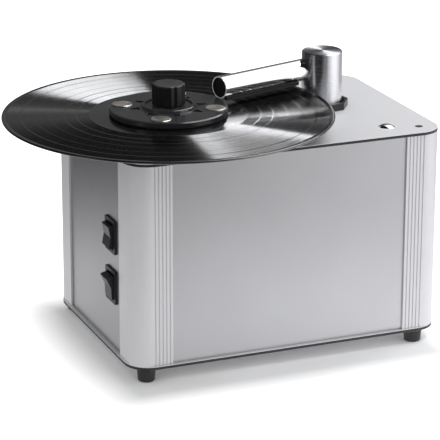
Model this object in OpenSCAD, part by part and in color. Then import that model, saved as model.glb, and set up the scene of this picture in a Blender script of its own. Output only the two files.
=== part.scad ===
// Record cleaning machine: a vacuum suction arm over a motor-driven platter, on a metal case.
// Millimetres, +Z up, origin at the middle of the overall footprint on the floor.

/* [Case] */
// Width of the case, over the plates
case_w = 307; // [300:1:380]
// Depth of the case, over the plates
case_d = 214; // [205:1:270]
// Height from the underside of the base plate to the face of the top plate
case_h = 193.5; // [185:0.5:240]
// Thickness of the base plate and of the top plate
plate_t = 3; // [2:0.5:5]
// Plan radius of the plate corners
plate_r = 23.7; // [18:0.1:30]
// How far the plates stand out past the corner profiles
plate_lip = 1.6; // [1:0.1:3]
// Thickness of the four side panels
panel_t = 2; // [1.5:0.1:3]
// How far the panels lie behind the faces of the profiles
panel_recess = 2; // [1.5:0.1:3]

/* [Corner profiles] */
// Length of each arm of a profile
profile_arm = 37.4; // [34:0.2:46]
// Outer radius of a profile's corner
profile_r = 17.8; // [14:0.2:20]
// Wall of a profile
profile_wall = 2.4; // [2:0.1:3.5]
// Depth of the groove that holds a panel
groove_depth = 5; // [4:0.5:7]
// Number of flutes on the front or back arm
flute_count = 5; // [3:1:5]
// Spacing of the flutes
flute_pitch = 3.5; // [3:0.1:3.6]
// Width of a flute
flute_w = 1.3; // [0.8:0.1:1.8]
// Depth of a flute
flute_depth = 0.8; // [0.4:0.1:1.2]
// Distance of the screw port from the two faces of a profile
port_inset = 17.5; // [16:0.5:20]

/* [Feet and screws] */
// Height of the feet
foot_h = 12; // [8:0.5:20]
// Radius of a foot at its top
foot_top_r = 8.7; // [6:0.1:9.4]
// Radius of a foot at the floor
foot_floor_r = 7.7; // [5:0.1:9]
// Distance of the left feet from the left edge of the plate
foot_inset_left = 16; // [14:0.5:40]
// Distance of the right feet from the right edge of the plate
foot_inset_right = 24.5; // [14:0.5:40]
// Distance of the feet from the front and back edges
foot_inset_y = 9.5; // [9.5:0.5:30]
// Radius of the countersunk heads of the corner screws
screw_head_r = 3.75; // [3:0.05:4.5]
// Radius of the corner screws
screw_r = 2.1; // [1.5:0.1:2.5]
// Length of the corner screws
screw_l = 16; // [10:1:30]
// Radius of the domed blanking plug in the top plate
plug_r = 7.6; // [6:0.1:10]
// Distance of the domed plug from the right edge of the plate
plug_inset_right = 47; // [44:1:60]
// Distance of the domed plug from the front edge of the plate
plug_inset_front = 29.3; // [27:0.1:40]

/* [Turntable] */
// Radius of the record, a twelve-inch disc
record_r = 150.5; // [148:0.5:152]
// Thickness of the record at its rim and its middle
record_t = 2.2; // [1.5:0.1:2.5]
// Height of the record's face above the top plate
record_rise = 21; // [18:0.5:30]
// Inner radius of the grooved band of the record
groove_band_r = 72; // [60:1:80]
// Distance of the spindle from the left edge of the plate
spindle_inset = 64.5; // [60:0.5:80]
// Place of the spindle in front of the middle of the case
spindle_forward = 30; // [20:1:40]
// Radius of the spindle's pin, for the hole of a record
pin_r = 3.6; // [3.5:0.01:3.62]
// Height of the pin above the record
pin_h = 16; // [10:1:17]
// Radius of the spindle's shaft
shaft_r = 6; // [5:0.5:8]
// Radius of the platter
platter_r = 110; // [90:1:140]
// Thickness of the platter
platter_t = 10; // [6:0.5:11]
// Thickness of the mat on the platter
mat_t = 1.8; // [1:0.1:3]
// Tooth size of the drive gears, pitch diameter over teeth
gear_module = 1.5; // [1.2:0.1:1.6]
// Teeth of the gear on the spindle
gear_teeth = 48; // [36:12:48]
// Teeth of the pinion
pinion_teeth = 12; // [12:1:16]
// Width of the gears
gear_w = 8; // [5:0.5:8]
// Radius of the motor that turns the platter
platter_motor_r = 21; // [18:0.5:22]
// Length of the motor that turns the platter
platter_motor_l = 60; // [40:1:70]

/* [Record clamp] */
// Radius of the clamp disc
clamp_r = 54; // [45:0.5:54]
// Height of the clamp disc's face above the record
clamp_rise = 6.2; // [3.5:0.1:8]
// Thickness of the rubber seal under the clamp
seal_t = 1.6; // [1:0.1:2]
// Radius of the raised ring in the middle of the clamp
hub_r = 24.5; // [20:0.5:26]
// Height of the raised ring
hub_h = 2.7; // [1.5:0.1:4]
// Number of magnets round the clamp
magnet_count = 4; // [3:1:6]
// Radius of a magnet
magnet_r = 9.3; // [7:0.1:9.8]
// Distance of the magnets' middles from the edge of the clamp disc
magnet_inset = 11.4; // [11:0.1:14]
// How far the magnets stand out of the clamp disc
magnet_proud = 0.9; // [0.3:0.1:1.5]
// Radius of the knob
knob_r = 15.3; // [12:0.1:20]
// Height of the knob above the raised ring
knob_h = 19.1; // [14:0.1:30]
// Number of finger flutes round the knob
knob_flutes = 8; // [6:1:12]

/* [Suction arm] */
// Radius of the post
post_r = 19; // [17.5:0.5:23]
// Height of the post
post_h = 49.3; // [44:0.1:62]
// Height of the post's foot above the top plate, with the arm up
post_rise = 5; // [5:0.1:9]
// Gap between the post and the edge of the record
post_gap = 3.7; // [2:0.1:12]
// Direction of the post seen from the spindle
post_bearing = 12.7; // [0:0.1:30]
// Depth of the tube's axis under the top of the post
tube_drop = 17.8; // [16:0.1:20]
// Outer radius of the suction tube
tube_r = 10.4; // [8:0.1:10.5]
// Wall of the suction tube
tube_wall = 1.2; // [0.8:0.1:2]
// Distance of the tube's open end from the post's axis, along the tube
tube_reach = 118.2; // [100:0.1:118.5]
// Wall of the post behind the tube, which enters it off its middle
tube_cover = 1; // [0.6:0.1:9]
// Turn of the tube from the line between the post and the spindle
tube_turn = 4.3; // [0:0.1:5]
// Width of the suction slot
slot_w = 2.4; // [1:0.1:4]
// Height of the felt strips along the slot
pad_t = 2; // [1:0.1:3]
// Width of a felt strip
pad_w = 4; // [2:0.1:5]
// Gap that is left over the record with the arm down
pad_gap = 0.3; // [0.3:0.1:1]
// Outer radius of the fixed suction pipe
pipe_r = 11.95; // [11.95:0.01:12]
// Wall of the suction pipe
pipe_wall = 1.5; // [1:0.1:2]
// Wall of the sleeve between the pipe and the post
sleeve_wall = 2; // [1.5:0.1:2.5]
// How far the corners of the eight-sided collar stand out past the post
collar_out = 6.5; // [6:0.1:15]
// Height of the collar
collar_h = 6.5; // [5:0.5:10]

/* [Waste tank] */
// Width of the tank to the left of the suction pipe
tank_left = 54; // [50:1:60]
// Gap between the tank and the right panel
tank_side_gap = 21.9; // [21.9:0.1:30]
// Depth of the tank in front of the suction pipe
tank_front = 48; // [40:1:80]
// Height of the tank
tank_h = 105; // [95:1:130]
// Wall of the tank
tank_wall = 2.5; // [2:0.5:4]
// Gap between the tank and the back panel
tank_gap = 3.4; // [3:0.1:8]
// Radius of the drain pipe
drain_r = 7; // [5:0.5:9]

/* [Vacuum motor] */
// Radius of the fan housing
fan_r = 58; // [50:1:59]
// Length of the fan housing
fan_l = 32; // [28:1:40]
// Distance of the fan's shaft from the back edge of the plate
fan_inset = 67; // [66:1:75]
// Wall of the fan housing
fan_wall = 2; // [1.5:0.5:3]
// Number of blades on the fan wheel
blade_count = 9; // [6:1:12]
// Radius of the vacuum motor
vac_motor_r = 40; // [34:1:44]
// Length of the vacuum motor
vac_motor_l = 70; // [50:1:76]
// Radius of the air hole between the fan and the tank
air_r = 16; // [12:1:18]
// Distance of the motor's capacitor to the right of the spindle
capacitor_right = 50; // [46:1:70]
// Distance of the motor's capacitor from the front edge of the plate
capacitor_inset = 32; // [28:1:45]

/* [Switches and mains inlet] */
// Width of a switch bezel
bezel_w = 26; // [24:0.5:30]
// Height of a switch bezel
bezel_h = 31.5; // [30.5:0.5:36]
// Thickness of a bezel
bezel_t = 2; // [1:0.1:3]
// Distance of the switches from the front edge of the plate
switch_inset = 63; // [60:1:100]
// Height of the upper switch above the base plate's underside
motor_switch_h = 110.8; // [100:0.1:130]
// Height of the lower switch above the base plate's underside
vacuum_switch_h = 63; // [40:0.1:66]
// Tilt of a rocker from its middle position
rocker_tilt = 13; // [8:1:14]
// Distance of the mains inlet from the left edge of the plate
inlet_inset = 58; // [55:1:80]
// Height of the mains inlet above the base plate's underside
inlet_h = 60; // [45:1:90]

/* [Hidden] */
$fn = 72;

// Running clearance of a shaft in its bore, on the radius
running = 0.05;
// Clearance of a piece that is fixed in its hole
snug = 0.02;
// Gap to a moving neighbour or a soft piece
soft_gap = 0.3;
// Extra length that carries a cut through a face
over = 1;

// Heights
base_top = foot_h + plate_t;
top_z = foot_h + case_h;
top_under = top_z - plate_t;
record_z = top_z + record_rise;
platter_top = record_z - record_t - mat_t;
platter_bottom = platter_top - platter_t;
post_bottom = top_z + post_rise;
post_top = post_bottom + post_h;
tube_z = post_top - tube_drop;
clamp_face = record_z + clamp_rise;
hub_top = clamp_face + hub_h;

// Plan places
spindle_x = -case_w / 2 + spindle_inset;
spindle_y = -spindle_forward;
post_distance = record_r + post_gap + post_r;
post_x = spindle_x + post_distance * cos(post_bearing);
post_y = spindle_y + post_distance * sin(post_bearing);
arm_angle = post_bearing + 180;
tube_angle = arm_angle + tube_turn;
profile_x = case_w / 2 - plate_lip;
profile_y = case_d / 2 - plate_lip;
corner_x = profile_x - port_inset;
corner_y = profile_y - port_inset;
panel_out_x = profile_x - panel_recess;
panel_out_y = profile_y - panel_recess;
panel_in_x = panel_out_x - panel_t;
panel_in_y = panel_out_y - panel_t;
foot_left_x = -case_w / 2 + foot_inset_left;
foot_right_x = case_w / 2 - foot_inset_right;
foot_y = case_d / 2 - foot_inset_y;
plug_x = case_w / 2 - plug_inset_right;
plug_y = -case_d / 2 + plug_inset_front;

// The overall box, whose middle is the origin
box_left = min(spindle_x - record_r, -case_w / 2);
box_right = case_w / 2;
box_front = min(spindle_y - record_r, -case_d / 2);
box_back = max(spindle_y + record_r, case_d / 2);
shift_x = -(box_left + box_right) / 2;
shift_y = -(box_front + box_back) / 2;

// Corner profiles and panels
groove_play = 0.1;
groove_w = panel_t + 2 * groove_play;
groove_lip = 1.6;
groove_web = 2;
port_web = 2.4;
port_r = 5;
port_hole_r = screw_r + snug;
panel_edge = profile_arm - groove_depth + soft_gap;

// Screws and feet
head_h = screw_head_r - screw_r;
drive_slot_w = 0.9;
drive_slot_depth = 1.1;
cross_l = 4;
foot_slot_l = 4.4;
foot_edge = 1;
foot_screw_r = 2;
foot_head_r = 3.6;
foot_head_h = 2.2;
foot_recess_r = 4.2;
foot_recess_h = 6;
plug_stem_r = 6.4;
plug_rise = 2.4;
plug_stem_l = 6;
plug_stem_wall = 1.4;

// Arm pivot
sleeve_r = pipe_r + running + sleeve_wall;
post_bore_r = sleeve_r + running;
post_edge = 1.2;
post_ceiling = tube_z + tube_r - 1;
flange_r = 22;
flange_t = 4;
flange_seat = 2.3;
sleeve_bottom = top_under - flange_seat + soft_gap;
sleeve_top = tube_z - tube_r - 2;
pipe_top = sleeve_top - 1;
key_w = 3;
key_out = 1.4;
key_play = 0.1;
key_bottom = post_bottom + 2;
key_top = sleeve_top - 2;
arm_drop = tube_z - tube_r - pad_t - record_z - pad_gap;
keyway_top = key_top + arm_drop + 1;
seal_wire_r = 0.7;
seal_z = sleeve_top - 8;
spring_wire_r = 0.8;
spring_turns = 4;
spring_r = (pipe_r + sleeve_r) / 2;
tube_root = sleeve_r + 1.2;
tube_offset = post_r - tube_r - tube_cover;
tube_side = post_distance * sin(tube_turn) - tube_offset;
slot_start = post_distance * cos(tube_turn) - sqrt(record_r * record_r - tube_side * tube_side) + 4;
slot_end = tube_reach - 5.4;
slot_depth = tube_r / 2;
tube_plug_l = 3.5;
tube_plug_set = 1.4;
collar_turn = -58;
collar_r = post_r + collar_out;
collar_bore_r = post_r + 2;
collar_edge = 1;
plate_arm_r = sleeve_r + 1;

// Turntable
shoulder_r = 14;
shoulder_t = 2.5;
shoulder_z = platter_bottom - shoulder_t;
bearing_r = shaft_r + running + 5;
bearing_flange_r = 20;
bearing_flange_t = 3;
bearing_low = 9;
gear_lid_t = 2.5;
gear_wall = 2.5;
gear_room = 24;
gear_lid_top = top_under - bearing_flange_t;
gear_lid_z = gear_lid_top - gear_lid_t;
gear_floor_top = gear_lid_z - gear_room;
gear_floor_z = gear_floor_top - gear_wall;
boss_h = 5;
gear_z = gear_floor_top + boss_h + 1;
gear_distance = gear_module * (gear_teeth + pinion_teeth) / 2;
gear_case_r = gear_module * gear_teeth / 2 + gear_module + 1.5;
pinion_case_r = gear_module * pinion_teeth / 2 + gear_module + 2.5;
pinion_shaft_r = 3;
pinion_shaft_l = 20;
pin_clear_r = pin_r + 0.06;
pin_taper_l = 1.5;
pin_taper = 1.2;
platter_rim = 8;

// Clamp
seal_z0 = record_z + soft_gap;
disc_z = seal_z0 + seal_t;
seal_w = 13;
seal_out_r = clamp_r - 0.8;
spigot_r = 7;
spigot_l = 4;
magnet_t = 2;
magnet_z = clamp_face + magnet_proud - magnet_t;
magnet_ring_r = clamp_r - magnet_inset;
first_magnet = 60;
pocket_count = 8;
pocket_depth = 1.3;
edge = 1;

// Tank, fan and drain
tank_x0 = post_x - tank_left;
tank_x1 = panel_in_x - tank_side_gap;
tank_y0 = post_y - tank_front;
tank_y1 = panel_in_y - tank_gap;
tank_top = base_top + tank_h;
tank_r = 8;
gasket_t = 1.5;
lid_t = 3;
lid_z = tank_top + gasket_t;
grommet_r = pipe_r + 3;
grommet_flange_r = grommet_r + 3;
grommet_flange_t = 1.5;
pipe_bottom = lid_z - 12;
drain_x = post_x + 15;
drain_z = base_top + 14;
drain_bore_r = drain_r - 2;
drain_flange_r = drain_r + 4;
drain_flange_t = 2;
drain_inside = 5;
drain_end = panel_out_y + 10;
cap_wall = 2.4;
cap_l = 9;
duct_l = 12;
duct_wall = 3;
fan_x = tank_x0 - duct_l - fan_l;
vac_y = case_d / 2 - fan_inset;
vac_z = base_top + fan_r + 2;
outlet_w = 20;
outlet_h = 40;
outlet_x = fan_l / 2;
vent_count = 7;
vent_pitch = 5.4;
vent_h = 2.6;
vent_margin = 3;
fan_shaft_r = 4;
fan_shaft_l = 30;
motor_flange_t = 3;

// Switches and inlet
bezel_r = 1.5;
body_w = 22;
body_h = 29.5;
body_depth = 22;
well_w = 18.4;
well_h = 25;
well_depth = 9;
rocker_w = 17.6;
rocker_h = 21.6;
rocker_out = 4.3;
rocker_dip = 1.9;
rocker_pin_r = 1.4;
switch_y = -case_d / 2 + switch_inset;
motor_switch_z = foot_h + motor_switch_h;
vacuum_switch_z = foot_h + vacuum_switch_h;
inlet_x = -case_w / 2 + inlet_inset;
inlet_z = foot_h + inlet_h;
inlet_flange_w = 31;
inlet_flange_h = 52;
inlet_flange_t = 3;
inlet_body_w = 27;
inlet_body_h = 47;
inlet_body_l = 24;
socket_w = 24;
socket_h = 16.5;
socket_l = 17;
socket_up = 11;
bay_w = 22.6;
bay_h = 12;
bay_l = 15;
bay_down = 13;
drawer_gap = 0.1;
fuse_r = 2.5;
fuse_l = 20;
fuse_play = 0.2;
fuse_y = inlet_flange_t - 7;
capacitor_r = 16;
capacitor_h = 55;
capacitor_x = spindle_x + capacitor_right;
capacitor_y = -case_d / 2 + capacitor_inset;
clip_t = 1.5;
clip_h = 8;

// Moves a piece from the middle of the case to the part's own origin.
module place() {
    translate([shift_x, shift_y, 0])
        children();
}

module at_spindle() {
    translate([spindle_x, spindle_y, 0])
        children();
}

module at_post() {
    translate([post_x, post_y, 0])
        children();
}

// Local Z runs along the tube, away from the post, and local X points down.
module along_tube() {
    translate([post_x, post_y, tube_z])
        rotate([0, 0, tube_angle])
            translate([0, -tube_offset, 0])
                rotate([0, 90, 0])
                    children();
}

// Local Z runs along the fan's shaft, towards the tank.
module along_fan() {
    translate([fan_x, vac_y, vac_z])
        rotate([0, 90, 0])
            children();
}

module disc(r, z0, z1) {
    translate([0, 0, z0])
        cylinder(r = r, h = z1 - z0);
}

module ring(r_out, r_in, z0, z1) {
    difference() {
        disc(r_out, z0, z1);
        disc(r_in, z0 - over, z1 + over);
    }
}

module rounded_rect(w, d, r) {
    square([w - 2 * r, d], center = true);
    square([w, d - 2 * r], center = true);
    for (sx = [-1, 1], sy = [-1, 1])
        translate([sx * (w / 2 - r), sy * (d / 2 - r)])
            circle(r);
}

module at_corners() {
    for (sx = [-1, 1], sy = [-1, 1])
        translate([sx * corner_x, sy * corner_y, 0])
            children();
}

module at_feet() {
    for (x = [foot_left_x, foot_right_x], sy = [-1, 1])
        translate([x, sy * foot_y, 0])
            children();
}

// A countersunk screw that points down from z = 0, with a cross recess.
module countersunk_screw() {
    difference() {
        rotate_extrude()
            polygon([[0, 0], [screw_head_r, 0], [screw_r, -head_h], [screw_r, -screw_l], [0, -screw_l]]);
        for (turn = [0, 90])
            rotate(turn)
                translate([-cross_l / 2, -drive_slot_w / 2, -drive_slot_depth])
                    cube([cross_l, drive_slot_w, drive_slot_depth + over]);
    }
}

module countersunk_hole() {
    rotate_extrude()
        polygon([[0, over], [screw_head_r + running, over], [screw_head_r + running, 0],
                 [screw_r + running, -head_h], [screw_r + running, -plate_t - over], [0, -plate_t - over]]);
}

// Case

module base_plate() {
    place()
        color("silver")
            difference() {
                translate([0, 0, foot_h])
                    linear_extrude(plate_t)
                        rounded_rect(case_w, case_d, plate_r);
                at_corners()
                    translate([0, 0, foot_h])
                        mirror([0, 0, 1])
                            countersunk_hole();
                at_feet()
                    disc(foot_screw_r + snug, foot_h - over, base_top + over);
            }
}

module top_plate() {
    place()
        color("gainsboro")
            difference() {
                translate([0, 0, top_under])
                    linear_extrude(plate_t)
                        rounded_rect(case_w, case_d, plate_r);
                at_corners()
                    translate([0, 0, top_z])
                        countersunk_hole();
                at_spindle()
                    disc(bearing_r + snug, top_under - over, top_z + over);
                at_post()
                    disc(plate_arm_r, top_under - over, top_z + over);
                translate([plug_x, plug_y, 0])
                    disc(plug_stem_r + snug, top_under - over, top_z + over);
            }
}

// One arm of a profile along X, with its panel groove and, where asked for, its flutes.
module profile_arm_shape(fluted) {
    groove_block = groove_depth + groove_web;
    difference() {
        union() {
            translate([profile_r, 0])
                square([profile_arm - profile_r, profile_wall]);
            translate([profile_arm - groove_block, 0])
                square([groove_block, panel_recess + groove_w + groove_lip]);
        }
        translate([profile_arm - groove_depth, panel_recess - groove_play])
            square([groove_depth + over, groove_w]);
        if (fluted)
            for (i = [1 : flute_count])
                translate([profile_arm - i * flute_pitch, -over])
                    square([flute_w, flute_depth + over]);
    }
}

// The section of a corner profile, with its corner at the origin and its arms along X and Y.
module profile_section() {
    port_off = (profile_r - port_inset) * sqrt(2);
    difference() {
        union() {
            profile_arm_shape(true);
            mirror([1, -1])
                profile_arm_shape(false);
            intersection() {
                translate([profile_r, profile_r])
                    difference() {
                        circle(profile_r);
                        circle(profile_r - profile_wall);
                    }
                square(profile_r);
            }
            translate([port_inset, port_inset])
                circle(port_r);
            translate([port_inset, port_inset])
                rotate(225)
                    translate([0, -port_web / 2])
                        square([profile_r - profile_wall / 2 - port_off, port_web]);
        }
        translate([port_inset, port_inset])
            circle(port_hole_r);
    }
}

module profile(side_x, side_y) {
    place()
        color("lightgray")
            mirror([side_x > 0 ? 1 : 0, 0, 0])
                mirror([0, side_y > 0 ? 1 : 0, 0])
                    translate([-profile_x, -profile_y, base_top])
                        linear_extrude(top_under - base_top)
                            profile_section();
}

module profile_front_left() {
    profile(-1, -1);
}

module profile_front_right() {
    profile(1, -1);
}

module profile_rear_left() {
    profile(-1, 1);
}

module profile_rear_right() {
    profile(1, 1);
}

// A panel that faces the front, as wide as the gap between two profiles and their grooves.
module long_panel() {
    half = profile_x - panel_edge;
    translate([-half, -panel_out_y, base_top])
        cube([2 * half, panel_t, top_under - base_top]);
}

// A panel that faces the left.
module short_panel() {
    half = profile_y - panel_edge;
    translate([-panel_out_x, -half, base_top])
        cube([panel_t, 2 * half, top_under - base_top]);
}

module front_panel() {
    place()
        color("darkgray")
            long_panel();
}

module back_panel() {
    place()
        color("darkgray")
            difference() {
                rotate(180)
                    long_panel();
                translate([inlet_x, panel_out_y, inlet_z])
                    cube([inlet_body_w + snug, 4 * panel_t, inlet_body_h + snug], center = true);
                translate([drain_x, panel_out_y, drain_z])
                    rotate([90, 0, 0])
                        cylinder(r = drain_r + snug, h = 4 * panel_t, center = true);
                for (i = [0 : vent_count - 1])
                    translate([fan_x + outlet_x, panel_out_y, vac_z])
                        translate([0, 0, (i - (vent_count - 1) / 2) * vent_pitch])
                            cube([outlet_w - vent_margin, 4 * panel_t, vent_h], center = true);
            }
}

module left_panel() {
    place()
        color("dimgray")
            difference() {
                short_panel();
                for (z = [motor_switch_z, vacuum_switch_z])
                    translate([-panel_out_x, switch_y, z])
                        cube([4 * panel_t, body_w + snug, body_h + snug], center = true);
            }
}

module right_panel() {
    place()
        color("darkgray")
            rotate(180)
                short_panel();
}

module feet() {
    place()
        color("black")
            at_feet()
                rotate_extrude()
                    polygon([[foot_screw_r + snug, foot_h], [foot_top_r, foot_h], [foot_floor_r, foot_edge],
                             [foot_floor_r - foot_edge, 0], [foot_recess_r, 0],
                             [foot_recess_r, foot_recess_h], [foot_screw_r + snug, foot_recess_h]]);
}

module foot_screws() {
    place()
        color("silver")
            at_feet()
                difference() {
                    union() {
                        disc(foot_head_r, foot_recess_h - foot_head_h, foot_recess_h);
                        disc(foot_screw_r, foot_recess_h - over, base_top + 2);
                    }
                    translate([-foot_slot_l / 2, -drive_slot_w / 2, foot_recess_h - foot_head_h - over])
                        cube([foot_slot_l, drive_slot_w, drive_slot_depth + over]);
                }
}

module top_screws() {
    place()
        color("silver")
            at_corners()
                translate([0, 0, top_z])
                    countersunk_screw();
}

module base_screws() {
    place()
        color("silver")
            at_corners()
                translate([0, 0, foot_h])
                    mirror([0, 0, 1])
                        countersunk_screw();
}

// A domed plug: a ball cut by the plate's face, on a stem.
module hole_plug() {
    ball_r = (plug_r * plug_r + plug_rise * plug_rise) / (2 * plug_rise);
    place()
        color("whitesmoke")
            translate([plug_x, plug_y, 0]) {
                intersection() {
                    translate([0, 0, top_z + plug_rise - ball_r])
                        sphere(ball_r);
                    disc(plug_r, top_z, top_z + plug_rise);
                }
                ring(plug_stem_r, plug_stem_r - plug_stem_wall, top_z - plug_stem_l, top_z + plug_rise / 4);
            }
}

module post_collar() {
    place()
        color("black")
            at_post()
                difference() {
                    translate([0, 0, top_z])
                        rotate(collar_turn)
                            cylinder(r = collar_r, h = collar_h, $fn = 8);
                    disc(collar_bore_r, top_z - over, top_z + collar_h + over);
                    translate([0, 0, top_z + collar_h - collar_edge])
                        cylinder(r1 = collar_bore_r, r2 = collar_bore_r + collar_edge,
                                 h = collar_edge + snug);
                }
}

// Suction arm

module suction_pipe() {
    place()
        color("lightsteelblue")
            at_post()
                difference() {
                    union() {
                        disc(pipe_r, pipe_bottom, pipe_top);
                        disc(flange_r, top_under - flange_t, top_under);
                    }
                    disc(pipe_r - pipe_wall, pipe_bottom - over, pipe_top + over);
                    ring(sleeve_r + soft_gap, pipe_r, top_under - flange_seat, top_under + over);
                    ring(pipe_r + over, pipe_r - 2 * seal_wire_r - running, seal_z - seal_wire_r - running,
                         seal_z + seal_wire_r + running);
                }
}

module pipe_seal() {
    place()
        color("black")
            at_post()
                translate([0, 0, seal_z])
                    rotate_extrude()
                        translate([pipe_r - seal_wire_r + running / 2, 0])
                            circle(seal_wire_r, $fn = 24);
}

module arm_sleeve() {
    place()
        color("burlywood")
            at_post()
                difference() {
                    union() {
                        disc(sleeve_r, sleeve_bottom, sleeve_top);
                        rotate(arm_angle + 180)
                            translate([sleeve_r - over, -key_w / 2, key_bottom])
                                cube([over + key_out, key_w, key_top - key_bottom]);
                    }
                    disc(pipe_r + running, sleeve_bottom - over, sleeve_top + over);
                }
}

// A point of the spring's wire: step i of n along the helix, corner j of six round the wire.
function wire_point(i, n, j, z0, z1) =
    let (turn = 360 * spring_turns * i / n, bead = 60 * j)
    [(spring_r + spring_wire_r * cos(bead)) * cos(turn),
     (spring_r + spring_wire_r * cos(bead)) * sin(turn),
     z0 + (z1 - z0) * i / n + spring_wire_r * sin(bead)];

module arm_spring() {
    n = 18 * spring_turns;
    z0 = sleeve_top + spring_wire_r + running;
    z1 = post_ceiling - spring_wire_r - soft_gap;
    points = [for (i = [0 : n], j = [0 : 5]) wire_point(i, n, j, z0, z1)];
    sides = [for (i = [0 : n - 1], j = [0 : 5], half = [0, 1])
        let (k = (j + 1) % 6)
        half == 0 ? [6 * i + j, 6 * (i + 1) + k, 6 * i + k] : [6 * i + j, 6 * (i + 1) + j, 6 * (i + 1) + k]];
    first_cap = [for (j = [1 : 4]) [0, j, j + 1]];
    last_cap = [for (j = [1 : 4]) [6 * n, 6 * n + j + 1, 6 * n + j]];
    place()
        color("slategray")
            at_post()
                polyhedron(points, concat(sides, first_cap, last_cap), convexity = 6);
}

module arm_post() {
    place()
        color("silver")
            difference() {
                at_post()
                    difference() {
                        rotate_extrude()
                            polygon([[0, post_bottom], [post_r - post_edge, post_bottom],
                                     [post_r, post_bottom + post_edge], [post_r, post_top - post_edge],
                                     [post_r - post_edge, post_top], [0, post_top]]);
                        disc(post_bore_r, post_bottom - over, post_ceiling);
                        rotate(arm_angle + 180)
                            translate([post_bore_r - over, -key_w / 2 - key_play, post_bottom - over])
                                cube([over + key_out + key_play, key_w + 2 * key_play,
                                      keyway_top - post_bottom + over]);
                    }
                along_tube()
                    cylinder(r = tube_r + snug, h = post_r + over);
            }
}

module arm_tube() {
    place()
        color("whitesmoke")
            difference() {
                along_tube()
                    difference() {
                        ring(tube_r, tube_r - tube_wall, 0, tube_reach);
                        translate([slot_depth, -slot_w / 2, slot_start])
                            cube([tube_r, slot_w, slot_end - slot_start]);
                    }
                at_post()
                    disc(tube_root, tube_z - tube_r - over, tube_z + tube_r + over);
            }
}

module tube_plug() {
    plug_top = tube_reach - tube_plug_set;
    place()
        color("black")
            along_tube()
                disc(tube_r - tube_wall - snug, plug_top - tube_plug_l, plug_top);
}

module suction_pads() {
    place()
        color("black")
            along_tube()
                difference() {
                    for (side = [-1, 1])
                        translate([slot_depth, side * (slot_w + pad_w) / 2 - pad_w / 2, slot_start])
                            cube([tube_r - slot_depth + pad_t, pad_w, slot_end - slot_start]);
                    disc(tube_r + snug, 0, tube_reach);
                }
}

// Turntable and clamp

module spindle() {
    pin_top = record_z + pin_h;
    place()
        color("silver")
            at_spindle()
                rotate_extrude()
                    polygon([[0, gear_floor_top + soft_gap], [shaft_r, gear_floor_top + soft_gap],
                             [shaft_r, shoulder_z], [shoulder_r, shoulder_z], [shoulder_r, platter_bottom],
                             [shaft_r, platter_bottom], [shaft_r, platter_top], [pin_r, platter_top],
                             [pin_r, pin_top - pin_taper_l], [pin_r - pin_taper, pin_top], [0, pin_top]]);
}

module platter() {
    place()
        color("dimgray")
            at_spindle()
                difference() {
                    disc(platter_r, platter_bottom, platter_top);
                    disc(shaft_r + snug, platter_bottom - over, platter_top + over);
                    ring(platter_r - platter_rim, shoulder_r + platter_rim, platter_bottom - over,
                         platter_bottom + platter_t / 2);
                }
}

module platter_mat() {
    place()
        color("darkslategray")
            at_spindle()
                ring(platter_r, pin_clear_r, platter_top, platter_top + mat_t);
}

// A disc with a rounded edge, a raised bead along it and a band for the grooves that lies lower.
module record() {
    bead = 3.4;
    dip = 0.3;
    slope = 1.2;
    round = 0.8;
    place()
        color("black")
            at_spindle()
                translate([0, 0, record_z - record_t])
                    rotate_extrude($fn = 180)
                        polygon([[pin_clear_r, 0], [record_r - round, 0], [record_r, record_t / 2],
                                 [record_r - round, record_t], [record_r - bead, record_t],
                                 [record_r - bead - slope, record_t - dip], [groove_band_r, record_t - dip],
                                 [groove_band_r - slope / 2, record_t], [pin_clear_r, record_t]]);
}

module clamp_seal() {
    place()
        color("black")
            at_spindle()
                ring(seal_out_r, seal_out_r - seal_w, seal_z0, disc_z);
}

// A wedge-shaped pocket between the hub ring and the magnets, narrow towards the rim.
module clamp_pocket() {
    inner_half = 4.5;
    outer_half = 1;
    start = hub_r + 2;
    end = hub_r + 11;
    linear_extrude(pocket_depth + over)
        polygon([[start, -inner_half], [end, -outer_half], [end, outer_half], [start, inner_half]]);
}

module clamp_disc() {
    hub_edge = 0.6;
    well_wall = 3;
    well_depth = 1.2;
    knob_lap = 1.5;
    place()
        color("dimgray")
            at_spindle()
                difference() {
                    rotate_extrude()
                        polygon([[0, disc_z], [clamp_r, disc_z], [clamp_r, clamp_face - edge],
                                 [clamp_r - edge, clamp_face], [hub_r + edge, clamp_face],
                                 [hub_r, hub_top - hub_edge], [hub_r - hub_edge, hub_top], [0, hub_top]]);
                    ring(hub_r - well_wall, knob_r - knob_lap, hub_top - well_depth, hub_top + over);
                    disc(pin_clear_r, disc_z - over, hub_top + over);
                    disc(spigot_r + snug, hub_top - spigot_l, hub_top + over);
                    for (i = [0 : magnet_count - 1])
                        rotate(first_magnet + 360 * i / magnet_count)
                            translate([magnet_ring_r, 0, 0])
                                disc(magnet_r + snug, magnet_z, clamp_face + over);
                    for (i = [0 : pocket_count - 1])
                        rotate(first_magnet + 360 * (i + 0.5) / pocket_count)
                            translate([0, 0, clamp_face - pocket_depth])
                                clamp_pocket();
                }
}

module clamp_magnets() {
    magnet_edge = 0.4;
    place()
        color("lightgray")
            at_spindle()
                for (i = [0 : magnet_count - 1])
                    rotate(first_magnet + 360 * i / magnet_count)
                        translate([magnet_ring_r, 0, 0])
                            rotate_extrude()
                                polygon([[0, magnet_z], [magnet_r, magnet_z],
                                         [magnet_r, magnet_z + magnet_t - magnet_edge],
                                         [magnet_r - magnet_edge, magnet_z + magnet_t],
                                         [0, magnet_z + magnet_t]]);
}

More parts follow.
